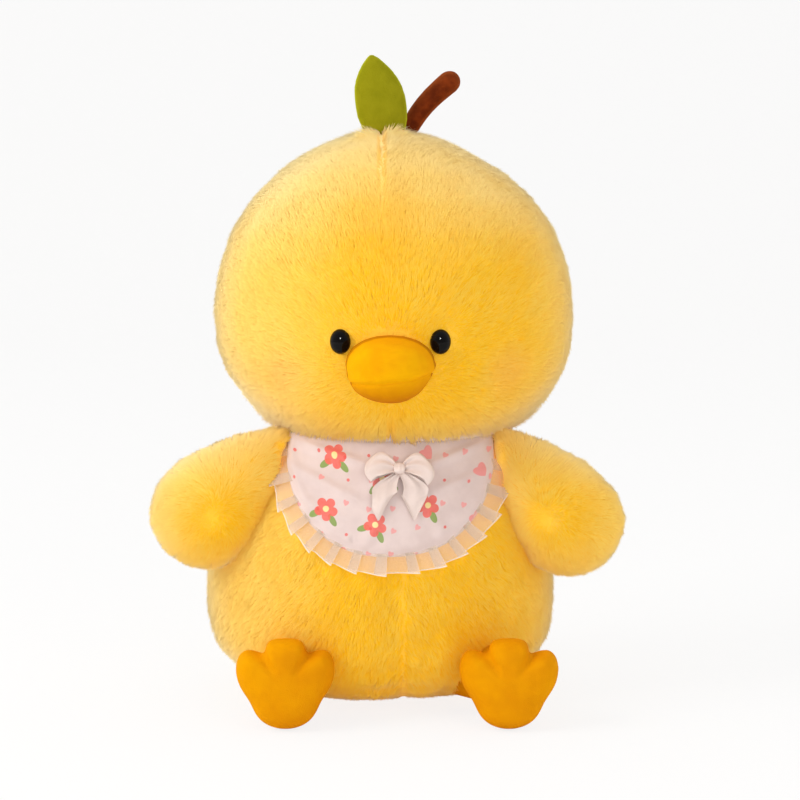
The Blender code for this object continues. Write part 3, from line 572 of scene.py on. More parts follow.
# %% [markdown]
# ## Swelling
# A stuffed toy gets its look from filling that presses against cut and sewn cloth. Blender's
# Cloth does the same: the form starts a few millimetres too small in a cloth that is cut 7 per
# cent too large for it, is held along its seams, and is pumped up for twenty steps. How far a
# point may move is capped, so the piece stays inside the size of the real one. The seams stay
# behind and become the soft furrows that the photograph shows on the crown, the chin and the
# belly.

# %% Swelling by cloth
SWELL_STEPS = 20
SWELL_PRESSURE = 20.0
CUT_TOO_LARGE = 0.07


def swell(piece, held, cap):
    """Pumps the piece up by at most cap; held gives, from 0 to 1, how tight each point is held."""
    rest = points(piece)
    tight = held(rest)
    pins = piece.vertex_groups.new(name="seams")
    for index in np.nonzero(tight > 0.02)[0]:
        pins.add([int(index)], float(tight[index]), "REPLACE")
    cloth = piece.modifiers.new("Cloth", "CLOTH")
    cloth.settings.shrink_min = -CUT_TOO_LARGE
    cloth.settings.use_pressure = True
    cloth.settings.uniform_pressure_force = SWELL_PRESSURE
    cloth.settings.vertex_group_mass = pins.name
    cloth.settings.effector_weights.gravity = 0.0
    cloth.point_cache.frame_start = 1
    cloth.point_cache.frame_end = SWELL_STEPS
    for step in range(1, SWELL_STEPS + 1):
        bpy.context.scene.frame_set(step)
    shaped = piece.evaluated_get(bpy.context.evaluated_depsgraph_get())
    moved = points(shaped) - rest
    piece.modifiers.remove(cloth)
    piece.vertex_groups.clear()
    bpy.context.scene.frame_set(1)
    far = np.linalg.norm(moved, axis=1)
    set_points(piece, rest + moved * np.minimum(1.0, cap / np.maximum(far, 1e-9))[:, None])
    print(piece.name, "moved", round(1000 * far.mean(), 2), "mm on average before the cap")
    return piece


def softened(piece):
    """One subdivision, and a last smoothing of the net."""
    finish(piece, "SUBSURF", levels=1, render_levels=1)
    finish(piece, "SMOOTH", factor=0.5, iterations=3)
    return smooth(piece)


# %% [markdown]
# ## Body and head
# Both are closed pouches of fur fabric. The body has one seam down its middle, a little to
# one side because the filling has sagged, and the head has one over its crown and down to
# its chin. The pouches start 3 to 4 mm inside the solids and swell back to about their size,
# and the pile lies flat over them.

# %% Body and head
BODY_START = -0.0028
HEAD_START = -0.0040
SKIN_CAP = 0.0032
BODY_SEAM_X = 0.0068
HEAD_SEAM_X = -0.0048
CROWN_Z = 0.312
SEAM_HOLD = 0.0035
BODY_TIGHT, BODY_SEAM_TOP = 0.9, 0.086
SEAT_TIGHT, SEAT_TOP = 0.2, 0.007
HEAD_TIGHT, HEAD_TIGHT_REACH = ((CROWN_Z, 0.34), (0.148, 0.25)), 0.022
COVER_NET = 0.005
CROWN_BUMPS, BUMP_HIGH = (-0.0108, 0.0012), 0.0028
HEAD_MIDDLE = (0.0, 0.0, 0.23)
HEAD_FLATS = ((0.047, 0.292, 0.030, 0.0028), (-0.080, 0.172, 0.026, 0.0024))


def body_held(spot):
    seam = near(spot[:, 0], BODY_SEAM_X, SEAM_HOLD) * (spot[:, 1] < 0)
    seat = SEAT_TIGHT * (spot[:, 2] < SEAT_TOP)
    return np.maximum(BODY_TIGHT * seam * (spot[:, 2] < BODY_SEAM_TOP), seat)


def crown_line(spot):
    """Where the head's seam runs: from the crown's left side to under the bill."""
    low = near(spot[:, 2], 0.155, 0.03)
    return HEAD_SEAM_X * (1 - low)


def head_held(spot):
    seam = near(spot[:, 0], crown_line(spot), SEAM_HOLD)
    ends = [tight * near(spot[:, 2], z, HEAD_TIGHT_REACH) for z, tight in HEAD_TIGHT]
    return seam * np.maximum(*ends)


body = form_of(["body_cover"], "body_fur_fabric", COVER_NET, BODY_START, hull=True)
head = form_of(["head_cover"], "head_fur_fabric", COVER_NET, HEAD_START, hull=True)
swell(body, body_held, SKIN_CAP)
swell(head, head_held, SKIN_CAP)
softened(body)
softened(head)
spot = points(head)
for x in CROWN_BUMPS:
    high = np.exp(-(((spot[:, 0] - x) / 0.0050) ** 2) - ((spot[:, 1] + 0.012) / 0.008) ** 2)
    spot[:, 2] += BUMP_HIGH * high * (spot[:, 2] > 0.28)
for x, z, reach, deep in HEAD_FLATS:
    flat = near(spot[:, 0], x, reach) * near(spot[:, 2], z, reach)
    spot -= deep * flat[:, None] * unit(spot - HEAD_MIDDLE)
set_points(head, spot)
for piece in (body, head):
    wear(piece, SKIN)
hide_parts("body_cover", "body_stuffing")
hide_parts("head_cover", "head_stuffing")
print("body and head:", len(body.data.polygons), len(head.data.polygons), "faces")

# %% [markdown]
# ## Wings
# Each wing is a paddle with a dimple stitched into its front, from which the pile runs out
# on all sides. The dimple is held while the wing swells.

# %% Wings
WING_NET = 0.004
WING_GROW = 0.0024
WING_CAP = 0.0020
DIMPLES = {"left": (0.0840, -0.052, 0.1065), "right": (-0.0965, -0.052, 0.1085)}
DIMPLE_REACH = 0.0065
DIMPLE_DEPTH = 0.0030


def dimple_hold(side):
    x, _, z = DIMPLES[side]

    def held(spot):
        return near(seen_from(spot, x, z), 0, DIMPLE_REACH) * (spot[:, 1] < -0.033)

    return held


wings = {}
for side in SIDES:
    name = f"wing_fur_fabric_{side}"
    wing = form_of([f"wing_stuffing_{side}"], name, WING_NET, WING_GROW, smoothing=4)
    pressed = dimple_hold(side)
    swell(wing, pressed, WING_CAP)
    spot = points(wing)
    spot[:, 1] += DIMPLE_DEPTH * pressed(spot)
    softened(set_points(wing, spot))
    wear(wing, SKIN)
    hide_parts(f"wing_cover_{side}", f"wing_stuffing_{side}")
    wings[side] = wing
print("wings:", [len(wing.data.polygons) for wing in wings.values()], "faces")

# %% [markdown]
# ## Feet
# A foot is cut as a fan with three toes, its sole turned to the viewer, and it is sewn to a
# short stuffed leg. It starts as a circle: its points are pushed out into toes and in
# between them, and the outline is then extruded back in steps, each a little wider or
# narrower, which gives the pillow its rounded edge. The last steps run into the leg.

# %% Feet
FOOT_HEEL = 0.0236
FOOT_WIDE = 1.10
TOE_AT, TOE_ROUND, TOE_OUT = math.radians(50), math.radians(24), 0.0030
DIP_AT, DIP_ROUND, DIP_IN = math.radians(33), math.radians(9), 0.0074
FLANK_AT, FLANK_ROUND, FLANK_IN = math.radians(115), math.radians(30), 0.0045
CROWN_OUT = 0.0012
FOOT_POINTS = 120
SOLE_Y = -0.096
FOOT_CENTRE_Z = 0.0238
FEET_X, FOOT_SPREAD = 0.0035, 0.0591
HIPS = {"left": 0.034, "right": -0.046}
FOOT_STEPS = (
    (0.0004, 0.46), (0.0012, 0.66), (0.0026, 0.82), (0.0050, 0.93), (0.0085, 0.985), (0.0125, 1.0),
    (0.0165, 0.985), (0.0200, 0.93), (0.0230, 0.84), (0.0255, 0.74), (0.0290, 0.70), (0.0400, 0.70),
    (0.0560, 0.70),
)
LEG_STARTS, LEG_ROUND = 0.0255, 0.0160


def fan(angle):
    """How far the foot's outline reaches at an angle from straight up."""
    reach = FOOT_HEEL + CROWN_OUT * (1 + math.cos(angle)) / 2
    for at, wide, out in ((TOE_AT, TOE_ROUND, TOE_OUT), (DIP_AT, DIP_ROUND, -DIP_IN),
                          (FLANK_AT, FLANK_ROUND, -FLANK_IN)):
        reach += out * math.exp(-(((abs(angle) - at) / wide) ** 2))
    return reach


def make_fan():
    """The sole, from a circle whose points are pulled out into toes."""
    foot = settle(add(
        bpy.ops.mesh.primitive_circle_add,
        vertices=FOOT_POINTS, radius=1.0, fill_type="TRIFAN", rotation=(math.pi / 2, 0, 0),
    ))
    for corner in foot.data.vertices:
        angle = math.atan2(corner.co.x, corner.co.z)
        reach = fan(angle) * FOOT_STEPS[0][1] * min(corner.co.length, 1.0)
        corner.co = Vector((reach * FOOT_WIDE * math.sin(angle), 0, reach * math.cos(angle)))
    return foot


def extrude_back(foot):
    """Extrudes the rim of the sole back in steps, each wider or narrower, and closes it."""
    pick(foot)
    bpy.ops.object.mode_set(mode="EDIT")
    bpy.ops.mesh.select_mode(type="EDGE")
    bpy.ops.mesh.select_all(action="SELECT")
    bpy.ops.mesh.region_to_loop()
    for (back, wide), (before, was) in zip(FOOT_STEPS[1:], FOOT_STEPS):
        bpy.ops.mesh.extrude_edges_move(TRANSFORM_OT_translate={"value": (0, back - before, 0)})
        bpy.ops.transform.resize(value=(wide / was, 1, wide / was), center_override=(0, back, 0))
    bpy.ops.mesh.fill()
    bpy.ops.mesh.select_all(action="SELECT")
    bpy.ops.mesh.normals_make_consistent(inside=False)
    bpy.ops.object.mode_set(mode="OBJECT")


def draw_leg(foot, aside):
    """Rounds the last steps into a leg that runs aside, towards the hip."""
    spot = points(foot)
    back = spot[:, 1]
    along = np.clip((back - LEG_STARTS) / (FOOT_STEPS[-1][0] - LEG_STARTS), 0, 1)
    reach = np.hypot(spot[:, 0], spot[:, 2])
    round_leg = LEG_ROUND / np.maximum(reach, 1e-6)
    merge = np.clip((back - 0.020) / 0.008, 0, 1) * (reach > 0.004)
    for axis in (0, 2):
        spot[:, axis] *= 1 + merge * (round_leg - 1)
    spot[:, 0] += along * aside
    return spot


print("foot outline:", round(2000 * fan(TOE_AT) * FOOT_WIDE * math.sin(TOE_AT), 1), "mm wide")

# %% [markdown]
# ## Soles
# The filling swells the sole and a round pad in each toe, and a stitched crease runs in below
# each dip. The steps are melted into one soft form by a fine remesh first, so that the pads
# and the creases have points enough to be moved.

# %% Soles
FOOT_NET = 0.0012
# How far the swelling or the crease stands out, and over what reach
SOLE_FULL, PAD_FULL, TOE_CREASE = (0.0016, 0.014), (0.0011, 0.0058), (0.0021, 0.0017)
TOE_PADS = ((-0.0195, 0.0145), (0.0, 0.0185), (0.0195, 0.0145))


def shape_sole(foot, centre):
    """Swells the sole and the toes, and presses a crease below each dip."""
    spot = points(foot) - np.array(centre)
    front = np.clip((0.010 - spot[:, 1]) / 0.008, 0, 1)
    move = -SOLE_FULL[0] * near(seen_from(spot, 0.0, -0.003), 0, SOLE_FULL[1])
    for x, z in TOE_PADS:
        move -= PAD_FULL[0] * near(seen_from(spot, x, z), 0, PAD_FULL[1])
    for way in (-1, 1):
        sine, cosine = way * math.sin(DIP_AT), math.cos(DIP_AT)
        along = spot[:, 0] * sine + spot[:, 2] * cosine
        across = spot[:, 0] * cosine - spot[:, 2] * sine
        from_toe = np.clip((along - 0.0075) / 0.008, 0, 1)
        move += TOE_CREASE[0] * near(across, 0, TOE_CREASE[1]) * from_toe
    spot[:, 1] += move * front
    return set_points(foot, spot + np.array(centre))


def make_foot(side):
    """One foot, from a circle that is pulled into a fan and extruded back."""
    centre = Vector((FEET_X + SIDES[side] * FOOT_SPREAD, SOLE_Y, FOOT_CENTRE_Z))
    foot = make_fan()
    foot.name = f"foot_{side}"
    extrude_back(foot)
    set_points(foot, draw_leg(foot, HIPS[side] - centre.x) + np.array(centre))
    finish(foot, "REMESH", mode="VOXEL", voxel_size=FOOT_NET)
    finish(foot, "SMOOTH", factor=0.5, iterations=10)
    shape_sole(foot, centre)
    finish(foot, "SMOOTH", factor=0.5, iterations=3)
    smooth(foot)
    wear(foot, VELVET_ORANGE)
    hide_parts(f"foot_cover_{side}", f"foot_stuffing_{side}")
    return foot


feet = [make_foot(side) for side in SIDES]
print("feet:", [len(foot.data.polygons) for foot in feet], "faces")

# %% [markdown]
# ## Bill
# The bill is stuffed tight, so its two lobes press against each other and only a thin crease
# shows between them. Both solids are wrapped in one hull, which is remeshed and smoothed.
# The crease is pressed in along the mouth, a little higher on one side, and the form is cut
# there into its two panels.

# %% Bill
MOUTH = Vector((0.0, -0.09, 0.1890))
MOUTH_TILT = 0.115
CREASE_DEEP = 0.0010
CREASE_WIDE = 0.0009
LIP_FULL = 0.0004
LIP_HIGH = 0.0120
LIP_TAPER = 0.26
BILL_NET, BILL_GROW = 0.0010, 0.0004


def press_mouth(lobe):
    """Presses the crease in, swells the lip above it and draws the sides in below it."""
    spot, outward = points(lobe), normals(lobe)
    above = spot[:, 2] - MOUTH.z - MOUTH_TILT * spot[:, 0]
    move = LIP_FULL * near(above, 0.0030, 0.0018) - CREASE_DEEP * near(above, 0, CREASE_WIDE)
    spot += outward * move[:, None]
    low = np.clip(-above / LIP_HIGH, 0, 1)
    spot[:, 0] *= 1 - LIP_TAPER * low ** 1.3
    return set_points(lobe, spot)


def make_lobe(part, upward):
    """One half of the creased bill, closed where it meets the other."""
    solids = ["bill_upper", "bill_lower"]
    lobe = form_of(solids, f"bill_lobe_{part}", BILL_NET, BILL_GROW, hull=True, smoothing=10)
    cut = {"plane_co": MOUTH, "plane_no": (-MOUTH_TILT * upward, 0, upward)}
    on_all(
        press_mouth(lobe),
        (bpy.ops.mesh.bisect, {**cut, "use_fill": True, "clear_inner": True}),
        (bpy.ops.mesh.normals_make_consistent, {"inside": False}),
    )
    smooth(lobe, 60)
    # The lower lobe wears the velvet with painted shade
    wear(lobe, VELVET_LIP_SHADED if part == "lower" else VELVET_BILL)
    return lobe


bill = {part: make_lobe(part, upward) for part, upward in (("upper", 1), ("lower", -1))}
for part, lobe in bill.items():
    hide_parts(f"bill_{part}")
print("bill:", [len(lobe.data.polygons) for lobe in bill.values()], "faces")

# %% [markdown]
# ## Leaf and stem
# Both are small stuffed pieces sewn into the crown's seam. The leaf bends a little to the
# front and to one side near its tip, and stays broad down to its root.

# %% Leaf and stem
LEAF_ROOT_ASIDE, LEAF_ROOT_DOWN = 0.0026, 0.0045
LEAF_TIP_ASIDE, LEAF_TIP_UP, LEAF_TIP_AHEAD = 0.0022, 0.0016, 0.0030

leaf = form_of(["leaf"], "leaf_plush_form", 0.0010, 0.0004, smoothing=14)
spot = points(leaf)
low, high = spot[:, 2].min(), spot[:, 2].max()
rise = (spot[:, 2] - low) / (high - low)
spot[:, 0] += LEAF_ROOT_ASIDE * (1 - rise) ** 2 - LEAF_TIP_ASIDE * rise ** 3
spot[:, 2] += LEAF_TIP_UP * rise ** 2 - LEAF_ROOT_DOWN * (1 - rise) ** 3
spot[:, 1] -= LEAF_TIP_AHEAD * rise ** 2
set_points(leaf, spot)
wear(leaf, FELT_GREEN)
stem = form_of(["stem"], "stem_velvet_form", 0.0009, 0.0003, smoothing=10)
wear(stem, VELVET_BROWN)
for piece, node in ((leaf, "leaf"), (stem, "stem")):
    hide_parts(node)
print("leaf and stem:", len(leaf.data.polygons), len(stem.data.polygons), "faces")

# %% [markdown]
# ## Eyes
# Each eye is a moulded black button on a ribbed shank, which is pushed through the fabric
# and held by a washer. The button is polished, but handling leaves a few scuffs that break
# its shine, and the washer's plastic is left as it comes from the mould.

# %% Eye finishes
def eye_gloss():
    """Black moulded plastic with a clear shine and a few fine scuffs."""
    paint = Paint("eye_black", specular_level=0.12)
    paint.feed(Roughness=0.05 + 0.05 * paint.noise(700.0, 2.0))
    paint.feed(**{"Base Color": paint.mix(paint.noise(300.0), shade(7, 6, 6), shade(15, 12, 12))})
    return paint.material


def washer_plastic():
    """White moulded plastic, a little cloudy."""
    paint = Paint("washer_white")
    cloud = paint.noise(250.0, 3.0)
    paint.feed(**{"Base Color": paint.mix(cloud, shade(226, 225, 220), shade(238, 237, 233))})
    paint.feed(Roughness=0.42 + 0.16 * cloud)
    return paint.material


EYE_BLACK, WASHER_WHITE = eye_gloss(), washer_plastic()
print("eye finishes:", EYE_BLACK.name, WASHER_WHITE.name)

# %% [markdown]
# ## Buttons and shanks
# The sphere is squeezed to an oval dome with a nearly flat back, and the shank is a cylinder
# with three rings. Both take their place and direction from the solid. The washers sit inside
# the head, so their solids stay and only get a finish.

# %% Buttons
EYE_HALF = (0.0055, 0.0066)
EYE_DOME = 0.0054
EYE_BACK = 0.0006
SHANK_RADIUS = 0.0020
SHANK_LONG = 0.0125
SHANK_RINGS, RING_ROUND = (-0.0058, -0.0080, -0.0102), 0.0004


def moved(matrix, rows):
    """Places that are carried along by a matrix."""
    turn = np.array(matrix)
    return rows @ turn[:3, :3].T + turn[:3, 3]


def solid_points(node):
    """The corners of a solid in the shared frame."""
    solid = frame["nodes"][node]
    return moved(solid.matrix_world, points(solid))


def make_eye(side):
    """A dome and its shank, set where the solid eye is."""
    spot = solid_points(f"eye_{side}")
    front = spot[spot[:, 1] < spot[:, 1].min() + 0.0005].mean(axis=0)
    back = spot[spot[:, 1] > spot[:, 1].max() - 0.0005].mean(axis=0)
    outward = Vector(front - back).normalized()
    shank = [add(
        bpy.ops.mesh.primitive_cylinder_add,
        vertices=32, radius=SHANK_RADIUS, depth=SHANK_LONG, location=(0, 0, -SHANK_LONG / 2),
    )]
    for level in SHANK_RINGS:
        shank.append(add(
            bpy.ops.mesh.primitive_torus_add, major_segments=32, minor_segments=8,
            major_radius=SHANK_RADIUS, minor_radius=RING_ROUND, location=(0, 0, level),
        ))
    eye = add(bpy.ops.mesh.primitive_uv_sphere_add, segments=64, ring_count=32, radius=1.0)
    eye.name = f"button_eye_{side}"
    dome = points(eye)
    dome *= (EYE_HALF[0], EYE_HALF[1], 1.0)
    dome[:, 2] *= np.where(dome[:, 2] > 0, EYE_DOME, EYE_BACK)
    set_points(eye, dome)
    for part in shank:
        part.select_set(True)
    bpy.ops.object.join()
    across = Vector((0, 0, 1)).cross(outward).normalized()
    turn = Matrix((across, outward.cross(across), outward)).transposed().to_4x4()
    eye.matrix_world = Matrix.Translation(Vector(front) - outward * EYE_DOME) @ turn
    smooth(settle(eye), 40)
    wear(eye, EYE_BLACK)
    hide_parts(f"eye_{side}")
    return eye


eyes = [make_eye(side) for side in SIDES]
for side in SIDES:
    solid = frame["nodes"][f"eye_washer_{side}"]
    solid.data.materials.clear()
    solid.data.materials.append(WASHER_WHITE)
print("eyes:", [len(eye.data.polygons) for eye in eyes], "faces")

# %% [markdown]
# ## Cloth on the chest
# The bib, its ruffle and the bow lie on the chest. A point of theirs is known by how far it
# is from the middle, how high it is and how far it stands off the fabric. A ray from the
# front finds the chest there. Above the neck seam the chest is carried on at its last slope.

# %% Laying cloth on the chest
CHEST_TOP, CHEST_STEP = 0.1400, 0.006
# The chest as an egg, half its size each way and its middle, for the way in which it faces
CHEST_HALF, CHEST_MIDDLE = (0.095, 0.080, 0.121), (0.0, 0.0, 0.058)
chest_net = BVHTree.FromObject(body, bpy.context.evaluated_depsgraph_get())


def chest_depth(across, level):
    hit = chest_net.ray_cast(Vector((across, -0.3, level)), Vector((0, 1, 0)))[0]
    return hit.y


def on_chest(across, level, off):
    """Places on the chest for arrays of front-view places and heights over the fabric."""
    rows = np.empty((len(across), 3))
    for index, (x, z) in enumerate(zip(across, level)):
        low = min(z, CHEST_TOP)
        depth = chest_depth(x, low)
        if z > CHEST_TOP:
            below = chest_depth(x, CHEST_TOP - CHEST_STEP)
            depth += (depth - below) / CHEST_STEP * (z - CHEST_TOP)
        rows[index] = (x, depth, z)
    outward = unit((rows - CHEST_MIDDLE) / [half ** 2 for half in CHEST_HALF])
    return rows + outward * np.asarray(off)[:, None]


def sheet_net(name, columns, rows):
    """A flat grid to be laid, with its places along and across it from 0 to 1."""
    grid = {"x_subdivisions": columns, "y_subdivisions": rows, "size": 1.0}
    piece = add(bpy.ops.mesh.primitive_grid_add, **grid)
    piece.name = name
    flat = points(piece) + 0.5
    return piece, flat[:, 0], flat[:, 1]


def lay(piece, spot, along, across, thick, closed=False):
    """Puts a net in its place, maps its flat cloth in metres and gives it its thickness."""
    set_points(piece, spot)
    layer = piece.data.uv_layers.new(name="cloth")
    corner = np.empty(len(piece.data.loops), dtype=np.int64)
    piece.data.loops.foreach_get("vertex_index", corner)
    layer.data.foreach_set("uv", np.stack([along[corner], across[corner]], axis=1).ravel())
    if closed:
        weld(piece)
    on_all(piece, (bpy.ops.mesh.normals_make_consistent, {"inside": False}))
    finish(piece, "SOLIDIFY", thickness=thick, offset=0.0)
    return smooth(piece, 60)


# %% [markdown]
# ## Printed satin
# The bib's print is drawn by its material: coral flowers with green leaves in a half-drop
# layout, hearts between them, and small hearts and dots all over. Each shape is a rule in
# metres of flat cloth, so the print follows the folds and no picture file is needed.

# %% Print
PRINT_RED = shade(232, 92, 84)
PRINT_PINK = shade(240, 150, 148)
PRINT_GREEN = shade(132, 160, 74)
PRINT_CREAM = shade(252, 226, 160)
LARGE_CELL, SMALL_CELL = 0.0260, 0.0122
CELL_WANDER, CELL_TURN = 0.30, 1.4
FLOWER, FLOWER_EYE, FLOWER_LEAF, HEART = 0.0060, 0.0015, 0.0054, 0.0040
SMALL_HEART, DOT = 0.0017, 0.0008


def cell_of(paint, where, size, seed, half_drop):
    """Places in a repeating cell about its own middle, and the cell's own random number."""
    x, y, _ = paint.axes(where)
    column = paint.sum("FLOOR", x / size)
    drop = paint.sum("FLOORED_MODULO", column, 2.0) * (0.5 * half_drop)
    row = paint.sum("FLOOR", y / size + drop)
    cell = paint.node("CombineXYZ", None, {"X": column, "Y": row, "Z": float(seed)})
    chance = paint.node("TexWhiteNoise", {"noise_dimensions": "3D"}, {"Vector": cell}, "Color")
    a, b, c = paint.axes(chance)
    across = x - (column + 0.5 + CELL_WANDER * (a - 0.5)) * size
    along = y - (row - drop + 0.5 + CELL_WANDER * (b - 0.5)) * size
    turn = (c - 0.5) * CELL_TURN
    cosine, sine = paint.sum("COSINE", turn), paint.sum("SINE", turn)
    return across * cosine - along * sine, across * sine + along * cosine, c


def within(paint, value, edge, soft=0.00012):
    """1 where the value is below the edge."""
    return 1 - paint.step(value, edge - soft, edge + soft)


def length_of(paint, x, y):
    return paint.sum("SQRT", x * x + y * y)


def flower(paint, x, y, reach):
    turn = paint.sum("ARCTAN2", y, x)
    petal = paint.sum("ABSOLUTE", paint.sum("COSINE", turn * 2.5))
    return within(paint, length_of(paint, x, y) - reach * (0.58 + 0.42 * petal ** 0.7), 0.0)


def leaf_pair(paint, x, y, reach):
    """Two slim ovals that spread below the flower."""
    side = paint.sum("ABSOLUTE", x)
    along = side * 0.75 - y * 0.66 - reach * 1.15
    across = side * 0.66 + y * 0.75
    return within(paint, length_of(paint, along, across * 2.1), reach * 0.62)


def heart(paint, x, y, reach):
    side = paint.sum("ABSOLUTE", x) / reach
    up = y / reach - 0.15
    lift = up - 0.62 * side ** 0.8
    return within(paint, length_of(paint, side, lift * 1.15), 0.86, 0.03)


def flowers_and_hearts(paint, where, colour):
    """Three cells in four carry a flower with its leaves, the others a heart."""
    x, y, chance = cell_of(paint, where, LARGE_CELL, 3, 1.0)
    big = paint.step(chance, 0.24, 0.26)
    leaves = leaf_pair(paint, x, y, FLOWER_LEAF)
    colour = paint.mix(leaves * big * 0.9, colour, PRINT_GREEN)
    wash = paint.noise(420.0, 2.0, where=where)
    red = paint.mix(wash, PRINT_RED, shade(244, 122, 108))
    colour = paint.mix(flower(paint, x, y, FLOWER) * big * 0.92, colour, red)
    eye = within(paint, length_of(paint, x, y), FLOWER_EYE)
    colour = paint.mix(eye * big, colour, PRINT_CREAM)
    return paint.mix(heart(paint, x, y, HEART) * (1 - big) * 0.9, colour, PRINT_PINK)


def small_shapes(paint, where, colour):
    """Small hearts and dots take turns in a finer layout."""
    x, y, chance = cell_of(paint, where, SMALL_CELL, 8, 0.0)
    hearts = paint.step(chance, 0.44, 0.46)
    small = heart(paint, x, y, SMALL_HEART) * hearts
    dots = within(paint, length_of(paint, x, y), DOT) * (1 - hearts)
    colour = paint.mix(small * 0.75, colour, PRINT_PINK)
    return paint.mix(dots * 0.8, colour, PRINT_RED)


print("print: one repeat in", round(1000 * LARGE_CELL, 1), "mm")

# %% [markdown]
# ## Satin, cotton and ribbon
# All four cloths are woven from fine threads, so they share one rule: two close shades in
# soft patches, a shine that changes from thread to thread, and a bump as shallow as a thread.
# Only the bib's satin asks for the print.

# %% Woven cloths
THREADS = (300.0, 6000.0, 1.0)


def satin(name, low, high, with_print=False):
    """A dense glossy weave, woven finer than a hair, with fine threads across it."""
    paint = Paint(name, specular_level=0.16, sheen_weight=0.1)
    where = paint.node("UVMap", {"uv_map": "cloth"})
    soft = paint.noise(90.0, 3.0, where=where)
    colour = paint.mix(paint.step(soft, 0.3, 0.7), low, high)
    if with_print:
        colour = small_shapes(paint, where, flowers_and_hearts(paint, where, colour))
    paint.feed(**{"Base Color": colour})
    fine = paint.node("VectorMath", {"operation": "MULTIPLY"}, {0: where, 1: THREADS})
    threads = paint.node("TexNoise", None, {"Vector": fine, "Scale": 1.0})
    paint.feed(Roughness=0.36 + 0.14 * threads)
    paint.bump(threads, 0.00004)
    return paint.material


SATIN_PRINT = satin("bib_satin", shade(220, 200, 196), shade(229, 210, 206), True)
COTTON = satin("bib_cotton", shade(224, 214, 204), shade(232, 223, 213))
RIBBON = satin("bow_ribbon", shade(222, 204, 197), shade(234, 217, 210))
BAND_SATIN = satin("band_satin", shade(230, 212, 208), shade(238, 221, 216))
print("cloth finishes: 4")

# %% [markdown]
# ## Bib
# A half disc of white satin over a cotton lining, both cut flat and laid over the chest. The
# satin has a fold along its left rim, and a few soft straight ones that run from the upper
# corners to the bow, where the cloth is caught. The lining is one millimetre smaller.

# %% Bib panel and lining
PANEL_OFF = 0.0040
PANEL_THICK = 0.0004
LINING_OFF = 0.0032
LINING_THICK = 0.0003
BIB_HALF_WIDTH = 0.05624
BIB_DROP = 0.0595
BIB_TOP = 0.1507
BIB_CURVE = 2.3
BIB_TAPER = 0.08
RIM_FOLD, RIM_DOWN = 0.0010, 0.0009
PRINT_SHIFT = 0.2
# Soft folds: from, to, how high and how wide
SATIN_FOLDS = (
    (-0.048, 0.1450, -0.010, 0.1360, 0.0022, 0.0024),
    (-0.051, 0.1340, -0.014, 0.1180, 0.0019, 0.0028),
    (-0.046, 0.1200, -0.020, 0.1080, 0.0012, 0.0022),
    (0.048, 0.1440, 0.014, 0.1340, 0.0019, 0.0026),
    (0.050, 0.1310, 0.022, 0.1230, 0.0012, 0.0024),
    (-0.002, 0.1210, -0.014, 0.0950, 0.0012, 0.0034),
    (0.014, 0.1210, 0.030, 0.0980, 0.0013, 0.0036),
)


def half_disc(angle, share, extra):
    """Front-view places of the bib at an angle from straight down, and a share of its size."""
    taper = 1 - BIB_TAPER * (1 - np.cos(angle)) ** 3
    across = taper * np.sign(np.sin(angle)) * np.abs(np.sin(angle)) ** (2 / BIB_CURVE)
    down = np.maximum(np.cos(angle), 0) ** (2 / BIB_CURVE)
    return (BIB_HALF_WIDTH * share + extra) * across, BIB_TOP - (BIB_DROP * share + extra) * down


def satin_folds(x, z):
    """How far the satin lifts: straight soft folds, and one along the left rim."""
    lift = np.zeros(len(x))
    for x0, z0, x1, z1, high, wide in SATIN_FOLDS:
        run = np.array([x1 - x0, z1 - z0])
        size = np.linalg.norm(run)
        along = ((x - x0) * run[0] + (z - z0) * run[1]) / size ** 2
        away = ((x - x0) * run[1] - (z - z0) * run[0]) / size
        lift += high * near(away, 0, wide) * np.exp(-((along - 0.45) / 0.5) ** 4)
    share = ((np.abs(x) / BIB_HALF_WIDTH) ** BIB_CURVE
             + (np.clip(BIB_TOP - z, 0, 1) / BIB_DROP) ** BIB_CURVE) ** (1 / BIB_CURVE)
    rim = near(share, 0.90, 0.035) * (x < -0.02) * np.clip((BIB_TOP - z) / 0.01, 0, 1)
    return lift + RIM_FOLD * rim - RIM_DOWN * np.clip((share - 0.93) / 0.07, 0, 1)


def make_half_disc(name, columns, rows, off, inward, thick):
    """A grid bent to the half disc and laid on the chest."""
    piece, along, out = sheet_net(name, columns, rows)
    x, z = half_disc((along - 0.5) * math.pi, out, -inward)
    z = np.minimum(z, BIB_TOP)
    spot = on_chest(x, z, off + satin_folds(x, z))
    return lay(piece, spot, x + PRINT_SHIFT, z, thick, closed=True)


panel = make_half_disc("bib_satin_panel", 160, 56, PANEL_OFF, 0.0, PANEL_THICK)
wear(panel, SATIN_PRINT)
lining = make_half_disc("bib_cotton_lining", 72, 24, LINING_OFF, 0.001, LINING_THICK)
wear(lining, COTTON)
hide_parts("bib_panel")
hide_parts("bib_lining")
print("bib:", len(panel.data.polygons), len(lining.data.polygons), "faces")

# %% [markdown]
# ## Ruffle
# A strip of stiff, sheer organza, laid in flat pleats. Each pleat runs over itself and back,
# so single layers, through which the fur shows, take turns with strips of three layers,
# which look whiter. The strip is pressed flat at its seam and stands up at its hem. One
# pleat is a path with three stretches, and the same path is repeated round the panel.

# %% Ruffle
PLEATS = 16
RUFFLE_DEEP = 0.0108
RUFFLE_CUT = (0.0125, 0.47)
RUFFLE_THICK = 0.00012
RUFFLE_OFF = 0.0034
RUFFLE_STAND = 0.0019
TOOTH_DEEP, SEAM_IN = 0.0014, 0.0016
